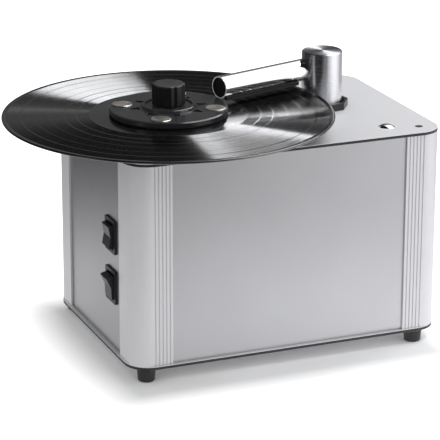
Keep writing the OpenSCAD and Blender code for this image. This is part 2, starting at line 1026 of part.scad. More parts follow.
module clamp_knob() {
    flute_r = 8;
    flute_bite = 1;
    knob_top = hub_top + knob_h;
    place()
        color("black")
            at_spindle()
                difference() {
                    rotate_extrude()
                        polygon([[0, hub_top - spigot_l], [spigot_r, hub_top - spigot_l], [spigot_r, hub_top],
                                 [knob_r, hub_top], [knob_r, knob_top - edge], [knob_r - edge, knob_top],
                                 [0, knob_top]]);
                    disc(pin_clear_r, hub_top - spigot_l - over, record_z + pin_h + over);
                    for (i = [0 : knob_flutes - 1])
                        rotate(360 * i / knob_flutes)
                            translate([knob_r + flute_r - flute_bite, 0, 0])
                                disc(flute_r, hub_top - over, knob_top + over);
                }
}

module spindle_bearing() {
    place()
        color("goldenrod")
            at_spindle()
                difference() {
                    union() {
                        disc(bearing_r, top_under - bearing_flange_t - bearing_low, shoulder_z - soft_gap);
                        disc(bearing_flange_r, top_under - bearing_flange_t, top_under);
                    }
                    disc(shaft_r + running, gear_floor_z, platter_bottom);
                }
}

// The plan of the gear case: a round end over each gear, joined by a straight neck.
module gear_case_plan(grow) {
    neck = 2 * (pinion_case_r + grow);
    circle(gear_case_r + grow);
    translate([0, -gear_distance])
        circle(pinion_case_r + grow);
    translate([-neck / 2, -gear_distance])
        square([neck, gear_distance]);
}

module gear_case() {
    place()
        color("gray")
            at_spindle() {
                difference() {
                    translate([0, 0, gear_floor_z])
                        linear_extrude(gear_lid_z - gear_floor_z)
                            gear_case_plan(gear_wall);
                    translate([0, 0, gear_floor_top])
                        linear_extrude(gear_room + over)
                            gear_case_plan(0);
                    translate([0, -gear_distance, 0])
                        disc(pinion_shaft_r + 0.2, gear_floor_z - over, gear_floor_top + over);
                }
                ring(shaft_r + running + 3, shaft_r + running, gear_floor_top, gear_floor_top + boss_h);
            }
}

module gear_case_lid() {
    place()
        color("gray")
            at_spindle()
                difference() {
                    translate([0, 0, gear_lid_z])
                        linear_extrude(gear_lid_t)
                            gear_case_plan(gear_wall);
                    disc(bearing_r + snug, gear_lid_z - over, gear_lid_top + over);
                }
}

// The outline of a gear with straight-sided teeth, one of them pointing along X.
module gear_outline(teeth) {
    pitch_r = gear_module * teeth / 2;
    root_r = pitch_r - 1.25 * gear_module;
    tip_r = pitch_r + 0.8 * gear_module;
    root_half = 0.30 * 360 / teeth;
    pitch_half = 0.225 * 360 / teeth;
    tip_half = 0.11 * 360 / teeth;
    polygon([for (i = [0 : teeth - 1], p = [[root_r, -root_half], [pitch_r, -pitch_half], [tip_r, -tip_half],
                                            [tip_r, tip_half], [pitch_r, pitch_half], [root_r, root_half]])
        let (a = 360 * i / teeth + p[1])
        [p[0] * cos(a), p[0] * sin(a)]]);
}

module drive_gear() {
    hole_count = 6;
    hole_r = 7;
    hole_ring_r = (gear_module * gear_teeth / 2 + shaft_r) / 2 + 1;
    place()
        color("goldenrod")
            at_spindle()
                translate([0, 0, gear_z])
                    difference() {
                        linear_extrude(gear_w)
                            rotate(-90)
                                gear_outline(gear_teeth);
                        disc(shaft_r + snug, -over, gear_w + over);
                        for (i = [0 : hole_count - 1])
                            rotate(360 * i / hole_count)
                                translate([hole_ring_r, 0, 0])
                                    disc(hole_r, -over, gear_w + over);
                    }
}

module motor_pinion() {
    shaft_bottom = gear_floor_z - pinion_shaft_l;
    place()
        color("silver")
            at_spindle()
                translate([0, -gear_distance, 0]) {
                    translate([0, 0, gear_z])
                        linear_extrude(gear_w)
                            rotate(90 + 180 / pinion_teeth)
                                gear_outline(pinion_teeth);
                    disc(pinion_shaft_r, shaft_bottom, gear_z + over);
                }
}

module platter_motor() {
    can_bottom = gear_floor_z - platter_motor_l;
    step = 3;
    place()
        color("dimgray")
            at_spindle()
                translate([0, -gear_distance, 0])
                    difference() {
                        union() {
                            disc(platter_motor_r, can_bottom + step, gear_floor_z);
                            disc(platter_motor_r - step, can_bottom, gear_floor_z);
                        }
                        disc(pinion_shaft_r + running, gear_floor_z - pinion_shaft_l - soft_gap,
                             gear_floor_z + over);
                    }
}

// Vacuum motor and fan

module fan_housing() {
    reach = panel_in_y - vac_y;
    half_w = outlet_w / 2 + fan_wall;
    half_h = outlet_h / 2 + fan_wall;
    place()
        color("slategray")
            along_fan()
                difference() {
                    union() {
                        disc(fan_r, 0, fan_l);
                        translate([-half_h, fan_r / 2, outlet_x - half_w])
                            cube([2 * half_h, reach - fan_r / 2, 2 * half_w]);
                    }
                    disc(fan_r - fan_wall, -over, fan_l - fan_wall);
                    translate([-outlet_h / 2, fan_r / 2, outlet_x - outlet_w / 2])
                        cube([outlet_h, reach, outlet_w]);
                    disc(air_r, 0, fan_l + over);
                }
}

module fan_wheel() {
    wheel_r = fan_r - fan_wall - 6;
    back = 3;
    disc_t = 2;
    front = fan_l - 10;
    hub = fan_shaft_r + 4;
    blade_t = 2;
    place()
        color("lightgray")
            along_fan() {
                disc(wheel_r, back, back + disc_t);
                disc(hub, back, front);
                disc(fan_shaft_r, -fan_shaft_l, back + over);
                for (i = [0 : blade_count - 1])
                    rotate(360 * i / blade_count)
                        translate([hub - over, -blade_t / 2, back + over])
                            cube([wheel_r - hub, blade_t, front - back - over]);
            }
}

module vacuum_motor() {
    tail = 4;
    hole_count = 8;
    hole_r = 3;
    hole_depth = 6;
    hole_ring_r = vac_motor_r - 8;
    place()
        color("dimgray")
            along_fan()
                difference() {
                    union() {
                        disc(fan_r, -motor_flange_t, 0);
                        disc(vac_motor_r, -vac_motor_l, -over);
                        disc(vac_motor_r / 3, -vac_motor_l - tail, -over);
                    }
                    disc(fan_shaft_r + running, -fan_shaft_l - soft_gap, over);
                    for (i = [0 : hole_count - 1])
                        rotate(360 * i / hole_count)
                            translate([hole_ring_r, 0, 0])
                                disc(hole_r, -vac_motor_l - over, -vac_motor_l + hole_depth);
                }
}

module motor_cradle() {
    saddle_w = 1.5 * vac_motor_r;
    saddle_t = 12;
    end_gap = 5;
    place()
        color("black")
            difference() {
                for (x = [fan_x - vac_motor_l + end_gap, fan_x - motor_flange_t - saddle_t - end_gap])
                    translate([x, vac_y - saddle_w / 2, base_top])
                        cube([saddle_t, saddle_w, vac_z - 0.7 * vac_motor_r - base_top]);
                along_fan()
                    disc(vac_motor_r, -vac_motor_l - over, 0);
            }
}

module inlet_duct() {
    place()
        color("black")
            along_fan()
                ring(air_r + duct_wall, air_r, fan_l, fan_l + duct_l);
}

// Waste tank

module tank_plan(inset) {
    translate([(tank_x0 + tank_x1) / 2, (tank_y0 + tank_y1) / 2])
        rounded_rect(tank_x1 - tank_x0 - 2 * inset, tank_y1 - tank_y0 - 2 * inset, tank_r - inset);
}

module waste_tank() {
    place()
        color("ghostwhite")
            difference() {
                translate([0, 0, base_top])
                    linear_extrude(tank_h)
                        tank_plan(0);
                translate([0, 0, base_top + tank_wall])
                    linear_extrude(tank_h)
                        tank_plan(tank_wall);
                along_fan()
                    disc(air_r, fan_l, fan_l + duct_l + tank_wall + over);
                translate([drain_x, tank_y1, drain_z])
                    rotate([90, 0, 0])
                        cylinder(r = drain_r + snug, h = 4 * tank_wall, center = true);
            }
}

module tank_gasket() {
    place()
        color("black")
            translate([0, 0, tank_top])
                linear_extrude(gasket_t)
                    difference() {
                        tank_plan(0);
                        tank_plan(tank_wall);
                    }
}

module tank_lid() {
    place()
        color("ghostwhite")
            difference() {
                translate([0, 0, lid_z])
                    linear_extrude(lid_t)
                        tank_plan(0);
                at_post()
                    disc(grommet_r + snug, lid_z - over, lid_z + lid_t + over);
            }
}

module pipe_grommet() {
    place()
        color("black")
            at_post()
                difference() {
                    union() {
                        disc(grommet_flange_r, lid_z - grommet_flange_t, lid_z);
                        disc(grommet_r, lid_z - grommet_flange_t, lid_z + lid_t + grommet_flange_t);
                        disc(grommet_flange_r, lid_z + lid_t, lid_z + lid_t + grommet_flange_t);
                    }
                    disc(pipe_r + snug, lid_z - 2 * lid_t, lid_z + 3 * lid_t);
                }
}

// Local Z runs out of the back of the case.
module along_drain() {
    translate([drain_x, 0, drain_z])
        rotate([-90, 0, 0])
            children();
}

module drain_outlet() {
    place()
        color("black")
            along_drain()
                difference() {
                    union() {
                        disc(drain_r, tank_y1 - tank_wall - drain_inside, drain_end);
                        disc(drain_flange_r, panel_out_y, panel_out_y + drain_flange_t);
                        disc(drain_flange_r, tank_y1 - tank_wall - drain_flange_t, tank_y1 - tank_wall);
                    }
                    disc(drain_bore_r, tank_y1 - tank_wall - drain_inside - over, drain_end + over);
                }
}

module drain_cap() {
    cap_start = drain_end - cap_l + cap_wall + soft_gap;
    place()
        color("dimgray")
            along_drain()
                difference() {
                    disc(drain_r + running + cap_wall, cap_start, cap_start + cap_l);
                    disc(drain_r + running, cap_start - over, drain_end + soft_gap);
                }
}

// Mains inlet, with local Y out of the back of the case

module at_inlet() {
    translate([inlet_x, panel_out_y, inlet_z])
        children();
}

module slab(w, h, y0, y1) {
    translate([-w / 2, y0, -h / 2])
        cube([w, y1 - y0, h]);
}

module mains_inlet() {
    place()
        color("black")
            at_inlet()
                difference() {
                    union() {
                        slab(inlet_flange_w, inlet_flange_h, 0, inlet_flange_t);
                        slab(inlet_body_w, inlet_body_h, inlet_flange_t - inlet_body_l, over);
                    }
                    translate([0, 0, socket_up])
                        slab(socket_w, socket_h, inlet_flange_t - socket_l, inlet_flange_t + over);
                    translate([0, 0, -bay_down])
                        slab(bay_w, bay_h, inlet_flange_t - bay_l, inlet_flange_t + over);
                }
}

module inlet_blades() {
    blade_w = 2;
    blade_h = 4;
    socket_floor = inlet_flange_t - socket_l;
    place()
        color("silver")
            at_inlet()
                translate([0, 0, socket_up])
                    for (p = [[-7, -2], [0, 2], [7, -2]])
                        translate([p[0], 0, p[1]])
                            slab(blade_w, blade_h, socket_floor, -over);
}

module fuse_drawer() {
    bay_floor = inlet_flange_t - bay_l;
    face_t = 1.5;
    place()
        color("black")
            at_inlet()
                translate([0, 0, -bay_down])
                    difference() {
                        union() {
                            slab(bay_w - 2 * drawer_gap, bay_h - 2 * drawer_gap, bay_floor + soft_gap,
                                 inlet_flange_t);
                            slab(bay_w + 2, bay_h + 1, inlet_flange_t, inlet_flange_t + face_t);
                        }
                        translate([0, fuse_y, bay_h / 2])
                            cube([fuse_l, 2 * fuse_r, bay_h] + 2 * fuse_play * [1, 1, 1], center = true);
                    }
}

module fuse() {
    place()
        color("silver")
            at_inlet()
                translate([0, fuse_y, fuse_r + fuse_play - bay_down])
                    rotate([0, 90, 0])
                        cylinder(r = fuse_r, h = fuse_l, center = true, $fn = 32);
}

// Switches on the left panel, with local Z out of the panel and local X up

module at_switch(z) {
    translate([-panel_out_x, switch_y, z])
        rotate([0, -90, 0])
            children();
}

module switch_body(z) {
    place()
        color("black")
            at_switch(z)
                difference() {
                    union() {
                        linear_extrude(bezel_t)
                            rounded_rect(bezel_h, bezel_w, bezel_r);
                        translate([0, 0, over / 2 - body_depth / 2])
                            cube([body_h, body_w, body_depth + over], center = true);
                    }
                    translate([0, 0, bezel_t])
                        cube([well_h, well_w, 2 * well_depth], center = true);
                    rotate([90, 0, 0])
                        cylinder(r = rocker_pin_r + running, h = well_w + 2.4, center = true, $fn = 32);
                }
}

// The side outline of a rocker: two raised ends, a dip between them and a narrower root.
module rocker_outline() {
    half = rocker_h / 2;
    face = bezel_t + rocker_out;
    skirt = bezel_t - 2;
    root = -3.5;
    root_half = 4;
    polygon([[-half, face - edge], [-half + edge, face], [0, face - rocker_dip], [half - edge, face],
             [half, face - edge], [half, skirt], [root_half, root], [-root_half, root], [-half, skirt]]);
}

module rocker(z, tilt) {
    place()
        color("black")
            at_switch(z)
                rotate([0, tilt, 0])
                    rotate([90, 0, 0]) {
                        linear_extrude(rocker_w, center = true)
                            rocker_outline();
                        cylinder(r = rocker_pin_r, h = well_w + 2, center = true, $fn = 32);
                    }
}

module motor_switch() {
    switch_body(motor_switch_z);
}

module motor_rocker() {
    rocker(motor_switch_z, 0);
}

module vacuum_switch() {
    switch_body(vacuum_switch_z);
}

module vacuum_rocker() {
    rocker(vacuum_switch_z, -rocker_tilt);
}

module motor_capacitor() {
    tag_w = 6;
    tag_t = 1;
    tag_h = 8;
    tag_x = 6;
    place()
        color("lightsteelblue")
            translate([capacitor_x, capacitor_y, base_top]) {
                cylinder(r = capacitor_r, h = capacitor_h);
                for (side = [-1, 1])
                    translate([side * tag_x - tag_t / 2, -tag_w / 2, capacitor_h - over])
                        cube([tag_t, tag_w, tag_h + over]);
            }
}

module capacitor_clip() {
    clip_low = 20;
    leg_w = 8;
    foot_l = 10;
    leg_x = capacitor_r + clip_t + snug;
    place()
        color("silver")
            translate([capacitor_x, capacitor_y, base_top]) {
                ring(leg_x, capacitor_r + snug, clip_low, clip_low + clip_h);
                translate([leg_x - clip_t / 3, -leg_w / 2, 0]) {
                    cube([clip_t, leg_w, clip_low + clip_h]);
                    cube([foot_l, leg_w, clip_t]);
                }
            }
}

base_plate();
top_plate();
profile_front_left();
profile_front_right();
profile_rear_left();
profile_rear_right();
front_panel();
back_panel();
left_panel();
right_panel();
feet();
foot_screws();
top_screws();
base_screws();
hole_plug();
post_collar();
suction_pipe();
pipe_seal();
arm_sleeve();
arm_spring();
arm_post();
arm_tube();
tube_plug();
suction_pads();
spindle();
platter();
platter_mat();
record();
clamp_seal();
clamp_disc();
clamp_magnets();
clamp_knob();
spindle_bearing();
gear_case();
gear_case_lid();
drive_gear();
motor_pinion();
platter_motor();
fan_housing();
fan_wheel();
vacuum_motor();
motor_cradle();
inlet_duct();
waste_tank();
tank_gasket();
tank_lid();
pipe_grommet();
drain_outlet();
drain_cap();
mains_inlet();
inlet_blades();
fuse_drawer();
fuse();
motor_switch();
motor_rocker();
vacuum_switch();
vacuum_rocker();
motor_capacitor();
capacitor_clip();
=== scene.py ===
"""Looks of a record cleaning machine: its finishes, its turned pieces, the light and the camera.

Lengths are in metres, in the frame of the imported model: +X to the right along the front, +Y to the back and
+Z up.
"""

import logging
import math
from abc import ABC, abstractmethod
from collections.abc import Callable
from dataclasses import dataclass
from enum import Enum
from functools import cache

import bmesh
import bpy
from mathutils import Euler, Matrix, Vector


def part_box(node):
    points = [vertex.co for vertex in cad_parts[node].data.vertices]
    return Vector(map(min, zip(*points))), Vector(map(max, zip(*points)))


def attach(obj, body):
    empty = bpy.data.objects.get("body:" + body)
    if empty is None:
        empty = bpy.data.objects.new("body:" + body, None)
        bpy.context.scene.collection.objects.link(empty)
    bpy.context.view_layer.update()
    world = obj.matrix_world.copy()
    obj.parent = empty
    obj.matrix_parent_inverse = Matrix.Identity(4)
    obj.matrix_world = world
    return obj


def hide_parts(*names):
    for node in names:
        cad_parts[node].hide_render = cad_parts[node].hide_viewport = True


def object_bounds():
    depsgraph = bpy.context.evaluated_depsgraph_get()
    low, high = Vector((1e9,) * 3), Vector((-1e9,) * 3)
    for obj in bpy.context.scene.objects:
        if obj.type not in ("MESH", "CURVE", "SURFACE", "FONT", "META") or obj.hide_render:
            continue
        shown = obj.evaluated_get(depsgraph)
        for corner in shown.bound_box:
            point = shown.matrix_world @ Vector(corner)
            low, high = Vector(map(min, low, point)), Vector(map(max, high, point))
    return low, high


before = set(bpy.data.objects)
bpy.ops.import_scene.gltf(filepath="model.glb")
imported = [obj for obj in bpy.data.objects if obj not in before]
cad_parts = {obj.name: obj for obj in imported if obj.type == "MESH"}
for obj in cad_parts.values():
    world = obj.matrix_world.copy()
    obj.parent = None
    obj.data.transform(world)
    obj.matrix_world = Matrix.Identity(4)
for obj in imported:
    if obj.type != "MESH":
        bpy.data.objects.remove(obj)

LOG = logging.getLogger("record_cleaning_machine")
MM = 0.001
CAD_LOW, CAD_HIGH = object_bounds()

Colour = tuple[float, float, float]
Point = tuple[float, float, float]
Span = tuple[float, float]
Outline = list[tuple[float, float]]
Wobble = Callable[[float, float], float]
Socket = bpy.types.NodeSocket
Sockets = bpy.types.bpy_prop_collection

# A Mix node holds the sockets of every data type: these are its two colours and their mix.
MIX_FIRST, MIX_SECOND, MIX_RESULT = 6, 7, 2

# What most of a noise texture's values lie between, and what those of its higher flecks lie between.
NOISE: Span = (0.2, 0.8)
UPPER_NOISE: Span = (0.35, 0.75)


class Grain(Enum):
    """The way that a surface's grain runs: the shares of a fleck's size along X, Y and Z."""

    ALONG_Z = (0.35, 0.35, 40.0)
    EVEN = (0.6, 0.6, 0.6)

    def fleck(self, size: float) -> Point:
        """Returns the size of one fleck along X, Y and Z."""
        return tuple(share * size for share in self.value)


class Shader:
    """A node tree that is filled one node at a time."""

    def __init__(self, tree: bpy.types.NodeTree) -> None:
        """Wraps the node tree of a material, a world or a group."""
        self.tree = tree

    def add(self, kind: str, settings: dict[str, object] | None = None, **sockets: object) -> bpy.types.Node:
        """Adds a node.

        Args:
            kind: The node's type name.
            settings: Properties of the node itself.
            sockets: Input sockets by name, with an underscore for a space. A socket is linked and a value
                is set.

        Returns:
            The new node.
        """
        node = self.tree.nodes.new(kind)
        for name, value in (settings or {}).items():
            setattr(node, name, value)
        for name, value in sockets.items():
            self.feed(node.inputs[name.replace("_", " ")], value)
        return node

    def feed(self, socket: Socket, value: object) -> None:
        """Links a socket to an input, or sets its value.

        Args:
            socket: The input socket.
            value: Another node's output socket, or a plain value.
        """
        if isinstance(value, bpy.types.NodeSocket):
            self.tree.links.new(value, socket)
        else:
            socket.default_value = value

    def maths(self, operation: str, *values: object) -> Socket:
        """Adds a Math node.

        Args:
            operation: The node's operation.
            values: Its inputs, in order.

        Returns:
            The result's socket.
        """
        node = self.add("ShaderNodeMath", {"operation": operation})
        for socket, value in zip(node.inputs, values):
            self.feed(socket, value)
        return node.outputs[0]

    def vector(self, operation: str, *vectors: object) -> Sockets:
        """Adds a Vector Math node.

        Args:
            operation: The node's operation.
            vectors: Its vectors, in order.

        Returns:
            Its outputs, Vector and Value.
        """
        node = self.add("ShaderNodeVectorMath", {"operation": operation})
        for socket, value in zip(node.inputs, vectors):
            self.feed(socket, value)
        return node.outputs

    def times(self, first: Socket, *others: object) -> Socket:
        """Multiplies a number by others, one after the other.

        Args:
            first: The number's socket.
            others: Sockets or plain numbers.

        Returns:
            The product's socket.
        """
        for other in others:
            first = self.maths("MULTIPLY", first, other)
        return first

    def rest(self, share: Socket) -> Socket:
        """Returns what a share leaves of 1."""
        return self.maths("SUBTRACT", 1.0, share)

    def remap(self, value: Socket, span: Span, result: Span = (0.0, 1.0)) -> Socket:
        """Adds a Map Range node, which stops at the ends of its span.

        Args:
            value: The socket to read.
            span: The values that give the ends of the result.
            result: The result's two ends.

        Returns:
            The result's socket.
        """
        node = self.add("ShaderNodeMapRange", {"clamp": True}, Value=value, From_Min=span[0],
                        From_Max=span[1], To_Min=result[0], To_Max=result[1])
        return node.outputs[0]

    def blend(self, mask: object, first: object, second: object) -> Socket:
        """Adds a colour Mix node.

        Args:
            mask: 0 shows the first colour and 1 the second.
            first: A colour or a socket.
            second: A colour or a socket.

        Returns:
            The mixed colour's socket.
        """
        node = self.add("ShaderNodeMix", {"data_type": "RGBA"})
        self.feed(node.inputs[0], mask)
        self.feed(node.inputs[MIX_FIRST], opaque(first))
        self.feed(node.inputs[MIX_SECOND], opaque(second))
        return node.outputs[MIX_RESULT]

    def tint(self, colour: Colour, tone: Socket) -> Socket:
        """Scales a colour.

        Args:
            colour: The plain colour.
            tone: The scale's socket.

        Returns:
            The scaled colour's socket.
        """
        node = self.add("ShaderNodeVectorMath", {"operation": "SCALE"}, Scale=tone)
        self.feed(node.inputs[0], colour)
        return node.outputs[0]

    def group(self, tree: bpy.types.NodeTree, **sockets: object) -> Sockets:
        """Places a node group, feeds its inputs and returns its outputs."""
        return self.add("ShaderNodeGroup", {"node_tree": tree}, **sockets).outputs

    def bump(self, height: Socket, depth: float) -> Socket:
        """Adds a Bump node whose height of 1 stands depth metres tall, and returns its normal."""
        return self.add("ShaderNodeBump", Height=height, Strength=1.0, Distance=depth).outputs[0]

    def place(self) -> Socket:
        """Returns the place of the shaded point on the object, in metres."""
        return self.add("ShaderNodeTexCoord").outputs["Object"]

    def parts(self, vector: Socket) -> Sockets:
        """Splits a vector into X, Y and Z."""
        return self.add("ShaderNodeSeparateXYZ", Vector=vector).outputs

    def upward(self) -> Socket:
        """Returns how far the surface faces up: 1 on top, 0 on a side and -1 below."""
        return self.parts(self.add("ShaderNodeNewGeometry").outputs["Normal"])[2]


def opaque(colour: object) -> object:
    """Returns a colour with its alpha, or a socket as it is."""
    return colour if isinstance(colour, bpy.types.NodeSocket) else (*colour, 1.0)


def new_group(name: str, inputs: dict[str, float | Point],
              outputs: tuple[str, ...]) -> tuple[Shader, Sockets, Sockets]:
    """Makes an empty node group with named sockets.

    Args:
        name: The group's name.
        inputs: Each input's default value, a number or a vector.
        outputs: The names of its outputs, which are numbers.

    Returns:
        The group's shader, its input node's outputs and its output node's inputs.
    """
    tree = bpy.data.node_groups.new(name, "ShaderNodeTree")
    for label, value in inputs.items():
        kind = "NodeSocketVector" if isinstance(value, tuple) else "NodeSocketFloat"
        tree.interface.new_socket(label, in_out="INPUT", socket_type=kind).default_value = value
    for label in outputs:
        tree.interface.new_socket(label, in_out="OUTPUT", socket_type="NodeSocketFloat")
    shader = Shader(tree)
    return shader, shader.add("NodeGroupInput").outputs, shader.add("NodeGroupOutput").inputs


class Groups:
    """Effects that several finishes share. Each group is made when it is first asked for."""

    @staticmethod
    @cache
    def grain() -> bpy.types.NodeTree:
        """Makes noise that is drawn out along one way, as brushing, rolling or moulding leaves it.

        Returns:
            The group. Its Size is the size of one fleck along X, Y and Z.
        """
        shader, given, out = new_group("surface_grain", {"Size": (MM, MM, MM), "Detail": 3.0}, ("Value",))
        scaled = shader.vector("DIVIDE", shader.place(), given["Size"])["Vector"]
        noise = shader.add("ShaderNodeTexNoise", Vector=scaled, Detail=given["Detail"], Scale=1.0)
        shader.feed(out["Value"], noise.outputs[0])
        return shader.tree

    @staticmethod
    @cache
    def rings() -> bpy.types.NodeTree:
        """Makes fine, uneven rings round an upright axis, as turning leaves them.

        Returns:
            The group. Its Pitch is the distance from one ring to the next.
        """
        ring_height, patches_per_ring = 0.25, 0.37
        shader, given, out = new_group("turned_rings", {"Centre": (0.0, 0.0, 0.0), "Pitch": MM}, ("Ring",))
        across, along, _ = shader.parts(shader.vector("SUBTRACT", shader.place(), given["Centre"])["Vector"])
        square = shader.maths("ADD", shader.times(across, across), shader.times(along, along))
        count = shader.maths("DIVIDE", shader.maths("SQRT", square), given["Pitch"])
        wave = shader.maths("SINE", shader.times(count, math.tau))
        uneven = shader.add("ShaderNodeTexNoise", {"noise_dimensions": "1D"}, W=count, Detail=2.0,
                            Scale=patches_per_ring)
        shader.feed(out["Ring"], shader.maths("MULTIPLY_ADD", wave, ring_height, uneven.outputs[0]))
        return shader.tree

    @staticmethod
    @cache
    def dust() -> bpy.types.NodeTree:
        """Makes a thin, uneven film on surfaces that face up.

        Returns:
            The group. Its Amount is the mask where the film is thickest.
        """
        patches_per_metre, thinnest, steepest = 45.0, 0.3, 0.3
        shader, given, out = new_group("settled_dust", {"Amount": 0.05}, ("Mask",))
        noise = shader.add("ShaderNodeTexNoise", Vector=shader.place(), Detail=6.0, Scale=patches_per_metre)
        patches = shader.remap(noise.outputs[0], UPPER_NOISE, (thinnest, 1.0))
        facing = shader.remap(shader.upward(), (steepest, 1.0))
        shader.feed(out["Mask"], shader.times(facing, patches, given["Amount"]))
        return shader.tree

    @staticmethod
    @cache
    def band() -> bpy.types.NodeTree:
        """Makes a mask that is 1 between two heights of the object and 0 elsewhere.

        Returns:
            The group. Its Low and High are the heights.
        """
        shader, given, out = new_group("height_band", {"Low": 0.0, "High": 1.0}, ("Mask",))
        height = shader.parts(shader.place())[2]
        above = shader.maths("GREATER_THAN", height, given["Low"])
        below = shader.maths("LESS_THAN", height, given["High"])
        shader.feed(out["Mask"], shader.times(above, below))
        return shader.tree


@dataclass(frozen=True, kw_only=True)
class Finish(ABC):
    """A finish that pieces of the machine can have.

    Attributes:
        name: The material's name.
        colour: The main colour.
        roughness: The surface's roughness.
        change: How much rougher or smoother its grain makes it.
    """

    name: str
    colour: Colour
    roughness: float
    change: float = 0.04

    def material(self) -> bpy.types.Material:
        """Builds the material.

        Returns:
            A material that holds one Principled shader, filled in by the finish.
        """
        material = bpy.data.materials.new(self.name)
        material.use_nodes = True
        material.node_tree.nodes.clear()
        shader = Shader(material.node_tree)
        principled = shader.add("ShaderNodeBsdfPrincipled")
        shader.add("ShaderNodeOutputMaterial", Surface=principled.outputs[0])
        self.fill(shader, principled.inputs)
        return material

    @abstractmethod
    def fill(self, shader: Shader, inputs: Sockets) -> None:
        """Fills in the Principled shader.

        Args:
            shader: The material's shader.
            inputs: The Principled node's inputs.
        """

    def uneven(self, shader: Shader, grain: Socket) -> Socket:
        """Returns a roughness that is higher where the grain is low."""
        return shader.remap(grain, NOISE, (self.roughness + self.change, self.roughness - self.change))

    def scaled(self, share: float) -> Colour:
        """Returns the main colour, scaled."""
        return tuple(share * part for part in self.colour)


@dataclass(frozen=True, kw_only=True)
class SheetMetal(Finish):
    """Anodised, brushed or cast metal: fine grain over faint clouds.

    Attributes:
        shade: The colour of the darker grain.
        metallic: The metallic share of the surface.
        grain: The way that the grain runs.
        fleck: The size of its flecks.
        relief: Their height.
        cloud: The size of the clouds.
        cloud_share: Their share in the colour's changes.
        contrast: The grain's values that give the shade and the main colour.
    """

    shade: Colour
    metallic: float
    grain: Grain = Grain.EVEN
    fleck: float = MM
    relief: float = 0.004 * MM
    cloud: float = 60 * MM
    cloud_share: float = 0.25
    contrast: Span = (0.25, 0.75)

    def fill(self, shader: Shader, inputs: Sockets) -> None:
        """Fills in the Principled shader.

        Args:
            shader: The material's shader.
            inputs: The Principled node's inputs.
        """
        fine = shader.group(Groups.grain(), Size=self.grain.fleck(self.fleck))[0]
        cloud = shader.group(Groups.grain(), Size=(self.cloud,) * 3)[0]
        both = shader.maths("ADD", shader.times(fine, 1.0 - self.cloud_share),
                            shader.times(cloud, self.cloud_share))
        mask = shader.remap(both, self.contrast)
        shader.feed(inputs["Base Color"], shader.blend(mask, self.shade, self.colour))
        shader.feed(inputs["Roughness"], self.uneven(shader, fine))
        shader.feed(inputs["Normal"], shader.bump(fine, self.relief))
        inputs["Metallic"].default_value = self.metallic


@dataclass(frozen=True, kw_only=True)
class SandwichPlate(Finish):
    """Two metal skins on a dark core, told apart by height in the plate's edge.

    Attributes:
        core: The core's colour.
        core_low: The height of its underside.
        core_high: The height of its top.
        level_face: The upward share from which a face is the plate's top or underside, not its edge.
        metallic: The metallic share of the skins.
        fleck: The size of the skins' grain.
        relief: Its height.
        cloud: The size of faint clouds in the skins.
        cloud_share: Their strength beside the grain's.
        contrast: The sums of grain and cloud that give the darkest and the lightest tone.
        tones: The skins' darkest and lightest tone.
    """

    core: Colour
    core_low: float
    core_high: float
    level_face: float = 0.9
    roughness: float = 0.46
    metallic: float = 0.4
    fleck: float = 0.8 * MM
    relief: float = 0.003 * MM
    cloud: float = 80 * MM
    cloud_share: float = 0.5
    contrast: Span = (0.5, 1.0)
    tones: Span = (0.94, 1.0)

    def fill(self, shader: Shader, inputs: Sockets) -> None:
        """Fills in the Principled shader.

        Args:
            shader: The material's shader.
            inputs: The Principled node's inputs.
        """
        fine = shader.group(Groups.grain(), Size=Grain.EVEN.fleck(self.fleck))[0]
        cloud = shader.group(Groups.grain(), Size=(self.cloud,) * 3)[0]
        band = shader.group(Groups.band(), Low=self.core_low, High=self.core_high)[0]
        edge = shader.maths("LESS_THAN", shader.maths("ABSOLUTE", shader.upward()), self.level_face)
        core = shader.times(band, edge)
        both = shader.maths("ADD", fine, shader.times(cloud, self.cloud_share))
        skin = shader.tint(self.colour, shader.remap(both, self.contrast, self.tones))
        shader.feed(inputs["Base Color"], shader.blend(core, skin, self.core))
        shader.feed(inputs["Metallic"], shader.maths("MULTIPLY_ADD", core, -self.metallic, self.metallic))
        shader.feed(inputs["Roughness"], self.uneven(shader, fine))
        shader.feed(inputs["Normal"], shader.bump(fine, self.relief))


@dataclass(frozen=True, kw_only=True)
class Moulded(Finish):
    """Moulded plastic or rubber with a fine texture and a little dust.

    Attributes:
        texture: The size of the texture's flecks.
        relief: Their height.
        tones: Their darkest and lightest tone.
        dust: How much dust lies on top. Set high, as on the knob, it is also a painted sheen on the top.
        dust_tone: The tone of the dust on black.
        dust_tint: How much of the main colour it takes on.
    """

    roughness: float = 0.45
    change: float = 0.07
    texture: float = 0.35 * MM
    relief: float = 0.02 * MM
    tones: Span = (0.82, 1.12)
    dust: float = 0.03
    dust_tone: float = 0.55
    dust_tint: float = 0.4

    def fill(self, shader: Shader, inputs: Sockets) -> None:
        """Fills in the Principled shader.

        Args:
            shader: The material's shader.
            inputs: The Principled node's inputs.
        """
        fine = shader.group(Groups.grain(), Size=(self.texture,) * 3)[0]
        film = shader.group(Groups.dust(), Amount=self.dust)[0]
        dusty = tuple(self.dust_tone + part for part in self.scaled(self.dust_tint))
        base = shader.tint(self.colour, shader.remap(fine, NOISE, self.tones))
        shader.feed(inputs["Base Color"], shader.blend(film, base, dusty))
        shader.feed(inputs["Roughness"], self.uneven(shader, fine))
        shader.feed(inputs["Normal"], shader.bump(fine, self.relief))


